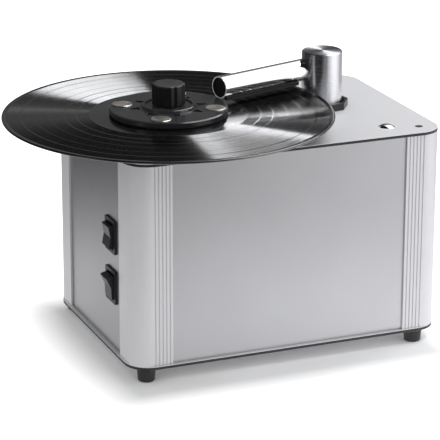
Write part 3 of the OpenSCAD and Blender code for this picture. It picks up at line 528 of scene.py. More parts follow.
@dataclass(frozen=True, kw_only=True)
class Polished(Finish):
    """Plated or polished metal with faint wipe marks.

    Attributes:
        wipe: The size of the marks along X, Y and Z.
        wipe_detail: How broken up they are.
        wiped: How many times rougher they are.
        shade: The share of the main colour that they keep.
        contrast: The marks' values that give the main colour and the shade.
    """

    wipe: Point = (9 * MM, 3 * MM, 3 * MM)
    wipe_detail: float = 5.0
    wiped: float = 1.8
    shade: float = 0.9
    contrast: Span = (0.3, 0.7)

    def marks(self, shader: Shader) -> Socket:
        """Returns the noise of the wipe marks."""
        return shader.group(Groups.grain(), Size=self.wipe, Detail=self.wipe_detail)[0]

    def smooth(self, shader: Shader, marks: Socket) -> Socket:
        """Returns the roughness, which is higher in the wipe marks."""
        return shader.remap(marks, UPPER_NOISE, (self.roughness, self.roughness * self.wiped))

    def fill(self, shader: Shader, inputs: Sockets) -> None:
        """Fills in the Principled shader.

        Args:
            shader: The material's shader.
            inputs: The Principled node's inputs.
        """
        marks = self.marks(shader)
        mask = shader.remap(marks, self.contrast)
        shader.feed(inputs["Roughness"], self.smooth(shader, marks))
        shader.feed(inputs["Base Color"], shader.blend(mask, self.colour, self.scaled(self.shade)))
        inputs["Metallic"].default_value = 1.0


@dataclass(frozen=True, kw_only=True)
class PolishedTube(Polished):
    """A polished tube with matt cut ends.

    Attributes:
        way: The direction of the tube.
        end_face: The share along the tube from which a face is a cut end.
        cut_colour: The colour of the ends.
        cut_roughness: How much rougher they are.
        cut_metallic: Their metallic share.
    """

    way: Point
    end_face: float = 0.8
    roughness: float = 0.045
    cut_colour: Colour = (0.75, 0.75, 0.77)
    cut_roughness: float = 0.55
    cut_metallic: float = 0.4

    def fill(self, shader: Shader, inputs: Sockets) -> None:
        """Fills in the Principled shader.

        Args:
            shader: The material's shader.
            inputs: The Principled node's inputs.
        """
        normal = shader.add("ShaderNodeTexCoord").outputs["Normal"]
        along = shader.vector("DOT_PRODUCT", normal, self.way)["Value"]
        cut = shader.maths("GREATER_THAN", shader.maths("ABSOLUTE", along), self.end_face)
        smooth = self.smooth(shader, self.marks(shader))
        shader.feed(inputs["Roughness"], shader.maths("MULTIPLY_ADD", cut, self.cut_roughness, smooth))
        shader.feed(inputs["Base Color"], shader.blend(cut, self.colour, self.cut_colour))
        shader.feed(inputs["Metallic"], shader.maths("MULTIPLY_ADD", cut, self.cut_metallic - 1.0, 1.0))


@dataclass(frozen=True, kw_only=True)
class Turned(Finish):
    """Metal turned on a lathe: fine rings on its ends and fine lines round its side.

    Attributes:
        centre: A point on the axis that it was turned about.
        pitch: The distance from one ring to the next.
        stretch: How far the lines draw out a reflection.
        line: The size of a line on the side, along X, Y and Z.
        line_detail: How broken up the lines are.
        relief: The height of the lines and rings.
        shade: The share of the main colour that their hollows keep.
        end_face: The upward share from which a face is an end.
        end_spread: How much rougher the ends are.
        quarter: The share of a turn that lays the stretch across the lines.
    """

    centre: Point
    pitch: float
    stretch: float
    change: float = 0.03
    line: Point = (30 * MM, 30 * MM, 0.16 * MM)
    line_detail: float = 2.0
    relief: float = 0.002 * MM
    shade: float = 0.92
    end_face: float = 0.7
    end_spread: float = 0.17
    quarter: float = 0.25

    def fill(self, shader: Shader, inputs: Sockets) -> None:
        """Fills in the Principled shader.

        Args:
            shader: The material's shader.
            inputs: The Principled node's inputs.
        """
        rings = shader.group(Groups.rings(), Centre=self.centre, Pitch=self.pitch)[0]
        lines = shader.group(Groups.grain(), Size=self.line, Detail=self.line_detail)[0]
        end = shader.maths("GREATER_THAN", shader.maths("ABSOLUTE", shader.upward()), self.end_face)
        cut = shader.maths("ADD", shader.times(rings, end), shader.times(lines, shader.rest(end)))
        mask = shader.remap(cut, NOISE)
        shader.feed(inputs["Base Color"], shader.blend(mask, self.scaled(self.shade), self.colour))
        spread = shader.maths("MULTIPLY_ADD", end, self.end_spread, self.uneven(shader, cut))
        shader.feed(inputs["Roughness"], spread)
        shader.feed(inputs["Normal"], shader.bump(cut, self.relief))
        tangent = shader.add("ShaderNodeTangent", {"direction_type": "RADIAL", "axis": "Z"})
        shader.feed(inputs["Tangent"], tangent.outputs[0])
        inputs["Metallic"].default_value = 1.0
        inputs["Anisotropic"].default_value = self.stretch
        inputs["Anisotropic Rotation"].default_value = self.quarter


@dataclass(frozen=True, kw_only=True)
class Vinyl(Finish):
    """Pressed vinyl: black and glossy, with faint dust in hairlines that run round.

    Attributes:
        centre: A point on the record's axis.
        dusty: The colour of the dust.
        dust: How much dust there is.
        hairline_pitch: The distance from one hairline to the next.
        hairline_span: The rings' values that give the least and the most dust.
        hairline_share: The shares of the dust that they give.
        gloss_change: What the rings take from the roughness, and what they add to it.
        level: How strongly the vinyl itself reflects.
        coat_index: The refractive index of its skin.
    """

    centre: Point
    dusty: Colour = (0.02, 0.02, 0.021)
    dust: float = 0.1
    hairline_pitch: float = 1.7 * MM
    hairline_span: Span = (0.35, 0.8)
    hairline_share: Span = (0.4, 1.0)
    gloss_change: Span = (-0.02, 0.03)
    roughness: float = 0.14
    level: float = 1.0
    coat_index: float = 1.55

    def fill(self, shader: Shader, inputs: Sockets) -> None:
        """Fills in the Principled shader.

        Args:
            shader: The material's shader.
            inputs: The Principled node's inputs.
        """
        ring = shader.group(Groups.rings(), Centre=self.centre, Pitch=self.hairline_pitch)[0]
        film = shader.group(Groups.dust(), Amount=self.dust)[0]
        mask = shader.times(film, shader.remap(ring, self.hairline_span, self.hairline_share))
        shader.feed(inputs["Base Color"], shader.blend(mask, self.colour, self.dusty))
        ends = tuple(self.roughness + change for change in self.gloss_change)
        shader.feed(inputs["Roughness"], shader.remap(ring, NOISE, ends))
        inputs["Specular IOR Level"].default_value = self.level
        inputs["Coat Weight"].default_value = 1.0
        inputs["Coat Roughness"].default_value = self.roughness
        inputs["Coat IOR"].default_value = self.coat_index


@dataclass(frozen=True, kw_only=True)
class Felt(Finish):
    """Short pile that swallows light, with a pale bloom at a low angle.

    Attributes:
        pile: The thickness of its fibres and the height of the pile.
        pile_detail: How broken up the pile is.
        contrast: The pile's values that give the main colour and the tips' colour.
        tips: How many times paler the fibres' tips are.
        sheen: The strength of the bloom.
        sheen_roughness: How far it spreads.
    """

    roughness: float = 0.95
    pile: float = 0.12 * MM
    pile_detail: float = 5.0
    contrast: Span = (0.35, 0.7)
    tips: float = 2.4
    sheen: float = 0.4
    sheen_roughness: float = 0.5

    def fill(self, shader: Shader, inputs: Sockets) -> None:
        """Fills in the Principled shader.

        Args:
            shader: The material's shader.
            inputs: The Principled node's inputs.
        """
        pile = shader.group(Groups.grain(), Size=(self.pile,) * 3, Detail=self.pile_detail)[0]
        mask = shader.remap(pile, self.contrast)
        shader.feed(inputs["Base Color"], shader.blend(mask, self.colour, self.scaled(self.tips)))
        shader.feed(inputs["Normal"], shader.bump(pile, self.pile))
        inputs["Roughness"].default_value = self.roughness
        inputs["Sheen Weight"].default_value = self.sheen
        inputs["Sheen Roughness"].default_value = self.sheen_roughness


def dress(finish: Finish, *nodes: str) -> None:
    """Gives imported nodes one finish.

    Args:
        finish: The finish.
        nodes: The names of the nodes.
    """
    material = finish.material()
    for name in nodes:
        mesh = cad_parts[name].data
        mesh.materials.clear()
        mesh.materials.append(material)
        LOG.info("%s has the finish %s", name, finish.name)


def middle(node: str) -> Vector:
    """Returns the middle of a node's box."""
    low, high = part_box(node)
    return (low + high) / 2


def axis_of(node: str) -> Point:
    """Returns the point on the ground under the middle of a round node."""
    centre = middle(node)
    return (centre.x, centre.y, 0.0)


def add_piece(name: str, shape: bmesh.types.BMesh, body: str, node: str, finish: Finish,
              smooth_angle: float) -> None:
    """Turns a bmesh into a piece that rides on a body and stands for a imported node.

    Args:
        name: The piece's name.
        shape: Its mesh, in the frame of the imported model. It is freed.
        body: The body that it rides on.
        node: The node that it replaces.
        finish: Its finish.
        smooth_angle: Faces that meet at less than this many degrees are shaded smooth.
    """
    mesh = bpy.data.meshes.new(name)
    bmesh.ops.recalc_face_normals(shape, faces=shape.faces)
    shape.to_mesh(mesh)
    shape.free()
    mesh.materials.append(finish.material())
    mesh.shade_smooth()
    mesh.set_sharp_from_angle(angle=math.radians(smooth_angle))
    piece = bpy.data.objects.new(name, mesh)
    bpy.context.scene.collection.objects.link(piece)
    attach(piece, body)
    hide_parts(node)
    LOG.info("%s stands for %s on body %s, with %d faces", name, node, body, len(mesh.polygons))


def lathe(outline: Outline, centre: Point, steps: int, wobble: Wobble | None = None) -> bmesh.types.BMesh:
    """Turns an outline about an upright axis.

    Args:
        outline: Radius and height of each point, round the cut through one side of the piece.
        centre: The axis, with the height that the outline's heights start from.
        steps: The number of steps round the axis.
        wobble: Scales a radius, from the angle and the radius.

    Returns:
        The closed mesh.
    """
    made = bmesh.new()
    rows = []
    for step in range(steps):
        turn = math.tau * step / steps
        row = []
        for radius, height in outline:
            reach = radius * (wobble(turn, radius) if wobble else 1.0)
            row.append(made.verts.new((centre[0] + reach * math.cos(turn),
                                       centre[1] + reach * math.sin(turn), centre[2] + height)))
        rows.append(row)
    for here, after in zip(rows, rows[1:] + rows[:1]):
        for index in range(len(outline)):
            following = (index + 1) % len(outline)
            made.faces.new((here[index], after[index], after[following], here[following]))
    return made


def arc(centre: Span, radius: float, angles: range) -> Outline:
    """Draws an arc of an outline.

    Args:
        centre: The arc's centre, as radius and height.
        radius: The arc's own radius.
        angles: Its points' angles above the level, in degrees.

    Returns:
        The arc's points.
    """
    turns = [math.radians(angle) for angle in angles]
    return [(centre[0] + radius * math.cos(turn), centre[1] + radius * math.sin(turn)) for turn in turns]


@dataclass
class Case:
    """The case: two plates, four corner profiles, four panels, their screws and the feet.

    Attributes:
        top_skin: Thickness of a plate's upper skin.
        under_skin: Height of the bright line at a plate's lower edge.
    """

    top_skin: float = 0.45 * MM
    under_skin: float = 0.045 * MM

    def build(self) -> None:
        """Gives the case its finishes."""
        for node in ("top_plate", "base_plate"):
            low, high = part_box(node)
            dress(SandwichPlate(name=f"{node}_sandwich", colour=(0.80, 0.80, 0.82), core=(0.02, 0.02, 0.022),
                                core_low=low.z + self.under_skin, core_high=high.z - self.top_skin), node)
        dress(SheetMetal(name="anodised_profile", colour=(0.74, 0.74, 0.76), shade=(0.70, 0.70, 0.72),
                         roughness=0.44, metallic=0.4, grain=Grain.ALONG_Z, fleck=0.5 * MM,
                         relief=0.003 * MM),
              "profile_front_left", "profile_front_right", "profile_rear_left", "profile_rear_right")
        dress(SheetMetal(name="satin_panel", colour=(0.57, 0.57, 0.59), shade=(0.48, 0.48, 0.50),
                         roughness=0.36, metallic=0.93, fleck=0.7 * MM),
              "front_panel", "back_panel", "left_panel", "right_panel")
        dress(Polished(name="bright_zinc", colour=(0.78, 0.78, 0.79), roughness=0.16),
              "top_screws", "base_screws", "foot_screws")
        dress(Polished(name="bright_dome", colour=(0.93, 0.93, 0.94), roughness=0.05), "hole_plug")
        dress(Moulded(name="foot_rubber", colour=(0.018, 0.018, 0.018), roughness=0.62, texture=0.5 * MM,
                      relief=0.03 * MM, dust=0.04), "feet")


@dataclass
class GroovedRecord:
    """A twelve-inch record with its rim bead, grooves, flat gaps between the tracks, run-out and label.

    Attributes:
        bead_w: Width of the raised bead at the rim.
        bead_drop: How far the bead's top lies under the disc's full thickness.
        bead_slope: Width of the slope from the bead to the grooves.
        rim_step: Degrees from one point of the half-round edge to the next.
        dip: How far the grooves lie under the disc's full thickness.
        run_out: Radius where the grooves end.
        label_slope: Radii between which the surface rises to the label.
        pitch: Distance from one groove to the next.
        land: Width of the flat between two grooves.
        wall_angle: Slope of the grooves' walls in degrees.
        wall_spread: How far the slope changes from groove to groove, in degrees.
        beat: The two rates of that change.
        gap_w: Width of a flat gap between two tracks.
        gaps: Radii of the gaps.
        hole: Radius of the hole.
        steps: Steps round the disc.
    """

    bead_w: float = 2.2 * MM
    bead_drop: float = 0.05 * MM
    bead_slope: float = 2.2 * MM
    rim_step: int = 20
    dip: float = 0.3 * MM
    run_out: float = 72 * MM
    label_slope: Span = (54 * MM, 52 * MM)
    pitch: float = 1.0 * MM
    land: float = 0.12 * MM
    wall_angle: float = 45.0
    wall_spread: float = 1.2
    beat: Span = (2.1, 0.37)
    gap_w: float = 0.5 * MM
    gaps: tuple[float, ...] = (84 * MM, 95 * MM, 108 * MM, 121.5 * MM, 134 * MM)
    hole: float = 3.66 * MM
    steps: int = 180

    def rim(self, radius: float, thickness: float) -> Outline:
        """Draws the half-round edge and the bead behind it.

        Args:
            radius: The disc's radius.
            thickness: Its thickness.

        Returns:
            Points from the underside up.
        """
        half = thickness / 2
        return arc((radius - half, half), half, range(-90, 91, self.rim_step)) + [
            (radius - self.bead_w, thickness - self.bead_drop),
            (radius - self.bead_w - self.bead_slope, thickness - self.dip)]

    def groove(self, place: float, level: float, ring: int) -> Outline:
        """Draws one land and the groove inside it.

        Args:
            place: Radius at the outside of the land.
            level: Height of the land.
            ring: Number of the groove, which sets how steep its walls are.

        Returns:
            Points towards the middle.
        """
        change = math.sin(self.beat[0] * ring) * math.cos(self.beat[1] * ring)
        half = (self.pitch - self.land) / 2
        depth = half * math.tan(math.radians(self.wall_angle + self.wall_spread * change))
        return [(place - self.land, level), (place - self.land - half, level - depth),
                (place - self.pitch, level)]

    def outline(self, radius: float, thickness: float) -> Outline:
        """Draws the cut through half the disc.

        Args:
            radius: The disc's radius.
            thickness: Its thickness.

        Returns:
            Points from the hole's lower edge round to its upper edge.
        """
        level = thickness - self.dip
        points = [(self.hole, 0.0), (radius - self.bead_w, 0.0)] + self.rim(radius, thickness)
        place, ring = points[-1][0], 0
        while place > self.run_out + self.pitch:
            ring += 1
            if any(abs(place - gap) < self.pitch / 2 for gap in self.gaps):
                place -= self.gap_w
                points.append((place, level))
            else:
                points += self.groove(place, level, ring)
                place -= self.pitch
        slope_start, slope_end = self.label_slope
        return points + [(slope_start, level), (slope_end, thickness), (self.hole, thickness)]

    def build(self) -> None:
        """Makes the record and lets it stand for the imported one."""
        low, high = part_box("record")
        axis = axis_of("record")
        outline = self.outline((high.x - low.x) / 2, high.z - low.z)
        shape = lathe(outline, (axis[0], axis[1], low.z), self.steps)
        finish = Vinyl(name="pressed_vinyl", colour=(0.003, 0.003, 0.0033), centre=axis)
        add_piece("grooved_record", shape, "turntable", "record", finish, smooth_angle=22.0)


@dataclass
class Turntable:
    """The platter, its mat and the spindle under the record."""

    def build(self) -> None:
        """Gives the turntable its finishes."""
        dress(Moulded(name="platter_black", colour=(0.03, 0.03, 0.031), roughness=0.42, texture=0.5 * MM),
              "platter")
        dress(Moulded(name="mat_rubber", colour=(0.022, 0.022, 0.024), roughness=0.7, texture=0.6 * MM,
                      relief=0.05 * MM), "platter_mat")
        dress(Turned(name="ground_steel", colour=(0.62, 0.62, 0.63), centre=axis_of("platter"),
                     roughness=0.22, pitch=0.3 * MM, stretch=0.5), "spindle")


@dataclass
class RecordClamp:
    """The clamp: a black disc with four magnets, its seal and a fluted knob.

    Attributes:
        flute_count: Number of finger flutes round the knob.
        flute_depth: Their depth as a share of the knob's radius.
        flute_power: How narrow they are: 1 is a plain wave.
        foot_edge: Width of the bevel at the knob's foot.
        edge: Radius of its upper edge.
        edge_step: Degrees from one point of that edge to the next.
        dish: Points of the dished top, as a share of the radius and a depth.
        tip: Radius and depth of the dish's middle.
        bore: Radius of the bore from below.
        bore_end: Depths of the cone that ends the bore, at its middle and at its side.
        steps: Steps round the knob.
    """

    flute_count: int = 8
    flute_depth: float = 0.06
    flute_power: float = 1.5
    foot_edge: float = 0.4 * MM
    edge: float = 1.6 * MM
    edge_step: int = 15
    dish: tuple[Span, ...] = ((0.7, 0.15 * MM), (0.35, 0.5 * MM))
    tip: Span = (0.02 * MM, 0.6 * MM)
    bore: float = 3.66 * MM
    bore_end: Span = (5 * MM, 6 * MM)
    steps: int = 192

    def outline(self, radius: float, low: float, high: float) -> Outline:
        """Draws the cut through half the knob: a plain side, a rounded edge and a dished top.

        Args:
            radius: The knob's radius.
            low: The height of its foot.
            high: The height of its top.

        Returns:
            Points from the bore's lower edge round to the bore's end.
        """
        points = [(self.bore, low), (radius - self.foot_edge, low), (radius, low + self.foot_edge),
                  (radius, high - self.edge)]
        angles = range(self.edge_step, 91, self.edge_step)
        points += arc((radius - self.edge, high - self.edge), self.edge, angles)
        points += [(share * radius, high - depth) for share, depth in self.dish]
        tip_radius, tip_depth = self.tip
        end_middle, end_side = self.bore_end
        return points + [(tip_radius, high - tip_depth), (tip_radius, high - end_middle),
                         (self.bore, high - end_side)]

    def flute(self, turn: float, radius: float) -> float:
        """Scales the knob's radius for its flutes, and leaves its bore round.

        Args:
            turn: The angle round the knob.
            radius: The radius at the point.

        Returns:
            The scale.
        """
        if math.isclose(radius, self.bore):
            return 1.0
        wave = max(0.0, math.cos(self.flute_count * turn))
        return 1.0 - self.flute_depth * wave ** self.flute_power

    def build(self) -> None:
        """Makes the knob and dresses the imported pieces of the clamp."""
        axis = axis_of("clamp_disc")
        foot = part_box("clamp_disc")[1].z
        low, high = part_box("clamp_knob")
        shape = lathe(self.outline((high.x - low.x) / 2, foot, high.z), axis, self.steps, self.flute)
        # The knob's high dust is partly dust and partly a painted sheen: it lightens the knob's upward-facing
        # top.
        knob = Moulded(name="knob_black", colour=(0.006, 0.006, 0.007), roughness=0.36, texture=0.3 * MM,
                       relief=0.012 * MM, dust=0.1)
        add_piece("fluted_knob", shape, "clamp", "clamp_knob", knob, smooth_angle=40.0)
        dress(Moulded(name="clamp_black", colour=(0.02, 0.02, 0.022), roughness=0.2, relief=0.006 * MM),
              "clamp_disc")
        dress(Polished(name="magnet_nickel", colour=(0.74, 0.71, 0.64), roughness=0.3), "clamp_magnets")
        dress(Moulded(name="seal_rubber", colour=(0.012, 0.012, 0.012), roughness=0.6), "clamp_seal")


@dataclass
class SuctionArm:
    """The swinging arm: post, tube and pads, the collar round it, and the pipe and sleeve it turns on."""

    def build(self) -> None:
        """Gives the arm its finishes."""
        axis = axis_of("arm_post")
        dress(Turned(name="turned_post", colour=(0.80, 0.80, 0.83), centre=axis, roughness=0.26,
                     pitch=0.4 * MM, stretch=0.9), "arm_post")
        way = middle("tube_plug") - middle("arm_tube")
        way.z = 0.0
        dress(PolishedTube(name="polished_tube", colour=(0.94, 0.94, 0.95), way=tuple(way.normalized())),
              "arm_tube")
        dress(Moulded(name="plug_rubber", colour=(0.008, 0.008, 0.008), roughness=0.6),
              "tube_plug", "pipe_seal")
        dress(Felt(name="pad_felt", colour=(0.012, 0.012, 0.012)), "suction_pads")
        dress(Moulded(name="collar_black", colour=(0.008, 0.008, 0.009), roughness=0.36, texture=0.3 * MM,
                      relief=0.01 * MM), "post_collar")
        dress(Moulded(name="bearing_plastic", colour=(0.72, 0.65, 0.48), roughness=0.4), "arm_sleeve")
        dress(Turned(name="drawn_steel", colour=(0.6, 0.6, 0.61), centre=axis, roughness=0.25,
                     pitch=0.4 * MM, stretch=0.4), "suction_pipe", "arm_spring")


@dataclass
class Inside:
    """What the case holds: the platter's drive, the vacuum motor with its fan, and the waste tank."""

    def build(self) -> None:
        """Gives the inner pieces their finishes."""
        dress(SheetMetal(name="machined_brass", colour=(0.72, 0.55, 0.27), shade=(0.64, 0.47, 0.22),
                         roughness=0.25, metallic=1.0, fleck=0.5 * MM), "spindle_bearing", "drive_gear")
        dress(SheetMetal(name="cast_alloy", colour=(0.45, 0.45, 0.46), shade=(0.36, 0.36, 0.37),
                         roughness=0.5, metallic=0.9, fleck=1.5 * MM, relief=0.04 * MM),
              "gear_case", "gear_case_lid", "fan_wheel")
        dress(SheetMetal(name="ground_pinion", colour=(0.58, 0.58, 0.6), shade=(0.5, 0.5, 0.52),
                         roughness=0.28, metallic=1.0), "motor_pinion")
        dress(Moulded(name="motor_enamel", colour=(0.05, 0.05, 0.06), roughness=0.3, texture=0.8 * MM,
                      relief=0.01 * MM), "platter_motor", "vacuum_motor")
        dress(Moulded(name="duct_plastic", colour=(0.12, 0.125, 0.135), texture=0.6 * MM), "fan_housing")
        dress(Moulded(name="inner_rubber", colour=(0.02, 0.02, 0.02), roughness=0.65),
              "motor_cradle", "inlet_duct", "tank_gasket", "pipe_grommet")
        dress(Moulded(name="tank_plastic", colour=(0.78, 0.79, 0.78), roughness=0.4, texture=1.2 * MM,
                      relief=0.01 * MM), "waste_tank", "tank_lid")
        dress(Polished(name="capacitor_can", colour=(0.66, 0.68, 0.72), roughness=0.3), "motor_capacitor")
        dress(Polished(name="spring_clip", colour=(0.7, 0.7, 0.71), roughness=0.25), "capacitor_clip")


@dataclass
class Switches:
    """Two rocker switches on the left, and the mains inlet and drain at the back."""

    def build(self) -> None:
        """Gives the switches, the inlet and the drain their finishes."""
        dress(Moulded(name="switch_black", colour=(0.013, 0.013, 0.014), roughness=0.38, texture=0.25 * MM,
                      relief=0.01 * MM, dust=0.02),
              "motor_switch", "vacuum_switch", "mains_inlet", "fuse_drawer", "drain_outlet")
        dress(Moulded(name="rocker_black", colour=(0.016, 0.016, 0.017), roughness=0.32, texture=0.25 * MM,
                      relief=0.008 * MM), "motor_rocker", "vacuum_rocker")
        dress(Moulded(name="cap_rubber", colour=(0.02, 0.02, 0.021), roughness=0.6), "drain_cap")
        dress(Polished(name="plated_blades", colour=(0.74, 0.73, 0.7), roughness=0.2),
              "inlet_blades", "fuse")


@dataclass
class Viewpoint:
    """The camera, at the photograph's viewing angle.

    Attributes:
        eye: Its place.
        turn: How far it looks to the right of the back, in degrees.
        tip: How far it looks down.
        roll: How far it is rolled.
        lens: Its focal length in millimetres, on a sensor of sensor_w.
        sensor_w: The sensor's width in millimetres.
        reach: The nearest and furthest distance that it sees.
    """

    eye: Point = (-0.78496, -1.92631, 0.82019)
    turn: float = 22.281
    tip: float = 18.632
    roll: float = 0.141
    lens: float = 194.5
    sensor_w: float = 36.0
    reach: Span = (0.1, 30.0)

    def build(self) -> None:
        """Sets up the camera."""
        data = bpy.data.cameras.new("camera")
        data.sensor_width = self.sensor_w
        data.lens = self.lens
        data.clip_start, data.clip_end = self.reach
        camera = bpy.data.objects.new("camera", data)
        bpy.context.scene.collection.objects.link(camera)
        camera.location = self.eye
        level = Euler((math.radians(90.0 - self.tip), 0.0, math.radians(-self.turn))).to_matrix()
        camera.rotation_euler = (level @ Matrix.Rotation(math.radians(self.roll), 3, "Z")).to_euler()
        bpy.context.scene.camera = camera


@dataclass
class Floor:
    """A wide white floor that keeps the object's shadow. Glossy surfaces mirror it as a table that ends.

    Attributes:
        white: Its colour.
        radius: Its reach round the origin.
        steps: Steps round its edge.
        glow: What it adds for the camera, close to the case and clear of it, so that it is white there. The
            low glow close to the case paints a shadow round it, on top of the real shadow.
        painted_shadow_reach: How far from the case the glow is whole: the reach of the painted shadow.
        front_left: How far the painted shadow moves out at the case's front left corner.
        back_right: How far it moves at the back right corner.
        table_edge: Distances between which the mirrored table ends.
        far_tone: Tone of what is mirrored beyond the table.
        table_glow: What the mirrored table adds of its own.
        left_span: The stretch along X in which the mirrored table grows lighter.
        left_tone: Its tone at the left end of that stretch.
        lit_across: The stretch along X in which the table's end fades out on the right.
        lit_along: The stretch along Y in which that weakens towards the back.
        lit_share: How far it fades at most.
        lit_back: What is left of that at the back.
    """

    white: Colour = (0.82, 0.82, 0.82)
    radius: float = 9.0
    steps: int = 96
    # A low glow close to the case paints a shadow round it, on top of the real one.
    glow: Span = (0.0, 0.8)
    painted_shadow_reach: float = 0.055
    front_left: Point = (-0.001, -0.023, 0.0)
    back_right: Point = (-0.02, 0.0, 0.0)
    table_edge: Span = (0.3, 0.68)
    far_tone: float = 0.06
    table_glow: float = 0.62
    left_span: Span = (-0.3, 0.35)
    left_tone: float = 0.42
    lit_across: Span = (0.2, 0.5)
    lit_along: Span = (-0.3, 0.15)
    lit_share: float = 0.8
    lit_back: float = 0.35

    def table(self, shader: Shader, place: Socket) -> Socket:
        """Makes the mask of the table that glossy surfaces mirror.

        Args:
            shader: The floor's shader.
            place: The shaded point.

        Returns:
            A mask that is 1 on the table's lightest part and 0 beyond its edge, except on the right.
        """
        distance = shader.vector("LENGTH", place)["Value"]
        across, along, _ = shader.parts(place)
        near = shader.remap(across, self.left_span, (self.left_tone, 1.0))
        lit = shader.times(shader.remap(across, self.lit_across, (0.0, self.lit_share)),
                           shader.remap(along, self.lit_along, (1.0, self.lit_back)))
        far = shader.times(shader.remap(distance, self.table_edge), shader.rest(lit))
        return shader.times(near, shader.rest(far))

    def clear_of_case(self, shader: Shader, place: Socket) -> Socket:
        """Measures how far a point of the floor lies from the shadow's rectangle.

        Args:
            shader: The floor's shader.
            place: The shaded point.

        Returns:
            The distance in metres, 0 inside the rectangle.
        """
        low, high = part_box("base_plate")
        # This rectangle sets where the painted shadow round the case lies.
        low, high = low + Vector(self.front_left), high + Vector(self.back_right)
        centre, half = (low + high) / 2, (high - low) / 2
        offset = shader.parts(shader.vector("SUBTRACT", place, (centre.x, centre.y, 0.0))["Vector"])
        squares = []
        for part, reach in zip(offset, (half.x, half.y)):
            beyond = shader.maths("SUBTRACT", shader.maths("ABSOLUTE", part), reach)
            beyond = shader.maths("MAXIMUM", beyond, 0.0)
            squares.append(shader.times(beyond, beyond))
        return shader.maths("SQRT", shader.maths("ADD", *squares))

    def material(self) -> bpy.types.Material:
        """Builds the floor's material.

        Returns:
            A matt white one that glows for the camera and for glossy surfaces.
        """
        material = bpy.data.materials.new("white_floor")
        material.use_nodes = True
        material.node_tree.nodes.clear()
        shader = Shader(material.node_tree)
        path = shader.add("ShaderNodeLightPath").outputs
        mirrored = shader.maths("MAXIMUM", path["Is Glossy Ray"], path["Is Transmission Ray"])
        place = shader.place()
        table = self.table(shader, place)
        tone = shader.maths("MULTIPLY_ADD", table, self.white[0] - self.far_tone, self.far_tone)
        matt = shader.add("ShaderNodeBsdfDiffuse", Color=shader.blend(mirrored, self.white, tone))
        # Painted shadow: the camera glow fades out close to the case, so a band of floor round it stays
        # darker, on top of the real shadow.
        level = shader.remap(self.clear_of_case(shader, place), (0.0, self.painted_shadow_reach), self.glow)
        seen = shader.times(path["Is Camera Ray"], level)
        back = shader.times(mirrored, table, self.table_glow)
        glow = shader.add("ShaderNodeEmission", Strength=shader.maths("ADD", seen, back))
        both = shader.add("ShaderNodeAddShader")
        shader.feed(both.inputs[0], matt.outputs[0])
        shader.feed(both.inputs[1], glow.outputs[0])
        shader.add("ShaderNodeOutputMaterial", Surface=both.outputs[0])
        return material

    def build(self) -> None:
        """Lays the floor under the feet."""
        made = bmesh.new()
        bmesh.ops.create_circle(made, cap_ends=True, segments=self.steps, radius=self.radius)
        mesh = bpy.data.meshes.new("floor")
        made.to_mesh(mesh)
        made.free()
        mesh.materials.append(self.material())
        plane = bpy.data.objects.new("floor", mesh)
        plane.location.z = CAD_LOW.z
        bpy.context.scene.collection.objects.link(plane)


@dataclass
class Lamps:
    """A strip softbox high on the right and a weak softbox on the left.

    Attributes:
        strip_from: Direction from the record to one end of the strip.
        strip_to: Direction to its other end.
        strip_reach: Its distance from the record.
        strip_w: Its width.
        strip_power: In watts.
        side_place: The side softbox's middle.
        side_size: Its height and width.
        side_power: In watts.
        tint: The colour of both.
    """

    strip_from: Point = (0.209, -0.347, 0.914)
    strip_to: Point = (0.848, 0.305, 0.433)
    strip_reach: float = 1.7
    strip_w: float = 0.42
    strip_power: float = 15.0
    side_place: Point = (-1.75, -0.45, 0.75)
    side_size: Span = (0.9, 0.5)
    side_power: float = 1.0
    tint: Colour = (0.965, 0.975, 1.0)

    def softbox(self, name: str, place: Vector, target: Vector, along: Vector, size: Span,
                power: float) -> None:
        """Hangs a rectangular softbox.

        Args:
            name: The lamp's name.
            place: Its middle.
            target: The point that it faces.
            along: The direction of its length.
            size: Its length and width.
            power: In watts.
        """
        data = bpy.data.lights.new(name, "AREA")
        data.shape = "RECTANGLE"
        data.size, data.size_y = size
        data.energy = power
        data.color = self.tint
        lamp = bpy.data.objects.new(name, data)
        bpy.context.scene.collection.objects.link(lamp)
        back = (place - target).normalized()
        side = (along - along.dot(back) * back).normalized()
        turn = Matrix((side, back.cross(side), back)).transposed()
        lamp.matrix_world = Matrix.Translation(place) @ turn.to_4x4()

    def build(self) -> None:
        """Hangs both lamps."""
        record = middle("record")
        first, last = Vector(self.strip_from), Vector(self.strip_to)
        facing = (first + last).normalized()
        length = 2 * self.strip_reach * math.tan(first.angle(last) / 2)
        self.softbox("strip", record + self.strip_reach * facing, record, last - first,
                     (length, self.strip_w), self.strip_power)
        self.softbox("side", Vector(self.side_place), (CAD_LOW + CAD_HIGH) / 2, Vector((0.0, 0.0, 1.0)),
                     self.side_size, self.side_power)


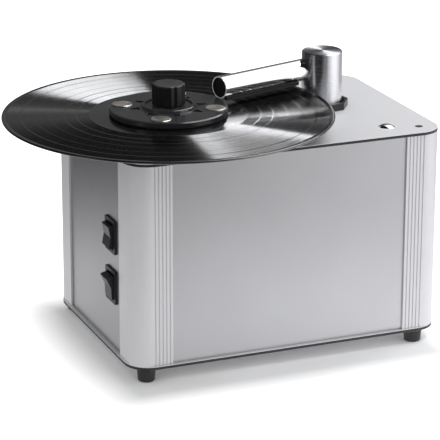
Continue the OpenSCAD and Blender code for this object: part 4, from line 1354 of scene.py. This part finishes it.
@dataclass
class Room:
    """The world: white for the camera, even light on matt surfaces, and a dim room for glossy ones.

    Attributes:
        fill: The even light on matt surfaces.
        dark: The tone of the room's dark part.
        horizon: What its paler back adds, low down.
        horizon_span: Heights between which that fades.
        behind_span: The stretch along Y in which it grows.
        left_span: The stretch along X in which it grows.
        left_share: What there is of it on the left.
        panel_way: The direction of a light panel's edge, along which its sides are measured.
        panel_start: Where the panel begins.
        panel_end: Where it ends.
        panel_back: The stretch along Y in which it fades.
        panel_glow: Its tone.
    """

    fill: float = 0.85
    dark: float = 0.008
    horizon: float = 0.12
    horizon_span: Span = (0.25, 0.75)
    behind_span: Span = (-0.3, 0.6)
    left_span: Span = (-0.6, 0.1)
    left_share: float = 0.35
    panel_way: Point = (0.9755, 0.2198, 0.0)
    panel_start: Span = (0.26, 0.34)
    panel_end: Span = (0.74, 0.84)
    panel_back: Span = (0.55, 0.8)
    panel_glow: float = 1.5

    def walls(self, shader: Shader) -> Socket:
        """Makes the room that glossy surfaces mirror.

        Args:
            shader: The world's shader.

        Returns:
            Its tone in each direction.
        """
        way = shader.add("ShaderNodeTexCoord").outputs["Generated"]
        across, along, height = shader.parts(way)
        low = shader.remap(height, self.horizon_span, (1.0, 0.0))
        behind = shader.times(shader.remap(along, self.behind_span),
                              shader.remap(across, self.left_span, (self.left_share, 1.0)))
        room = shader.maths("MULTIPLY_ADD", shader.times(low, behind), self.horizon, self.dark)
        place = shader.vector("DOT_PRODUCT", way, self.panel_way)["Value"]
        panel = shader.times(shader.remap(place, self.panel_start),
                             shader.remap(place, self.panel_end, (1.0, 0.0)),
                             shader.remap(along, self.panel_back, (1.0, 0.0)))
        return shader.maths("MULTIPLY_ADD", panel, self.panel_glow, room)

    def build(self) -> None:
        """Sets the world."""
        world = bpy.data.worlds.new("studio")
        bpy.context.scene.world = world
        world.use_nodes = True
        world.node_tree.nodes.clear()
        shader = Shader(world.node_tree)
        path = shader.add("ShaderNodeLightPath").outputs
        matt = path["Is Diffuse Ray"]
        strength = shader.maths("ADD", shader.times(self.walls(shader), shader.rest(matt)),
                                shader.times(matt, self.fill))
        seen = shader.maths("MAXIMUM", strength, path["Is Camera Ray"])
        background = shader.add("ShaderNodeBackground", Color=(1.0, 1.0, 1.0, 1.0), Strength=seen)
        shader.add("ShaderNodeOutputWorld", Surface=background.outputs[0])


def main() -> None:
    """Builds the studio, then builds and dresses the sub-assemblies in order."""
    logging.basicConfig(level=logging.INFO, format="%(message)s")
    bpy.context.scene.view_settings.view_transform = "Standard"
    for part in (Viewpoint(), Floor(), Lamps(), Room(), Case(), GroovedRecord(), Turntable(), RecordClamp(),
                 SuctionArm(), Inside(), Switches()):
        part.build()
        LOG.info("%s is done", type(part).__name__)


if __name__ == "__main__":
    main()
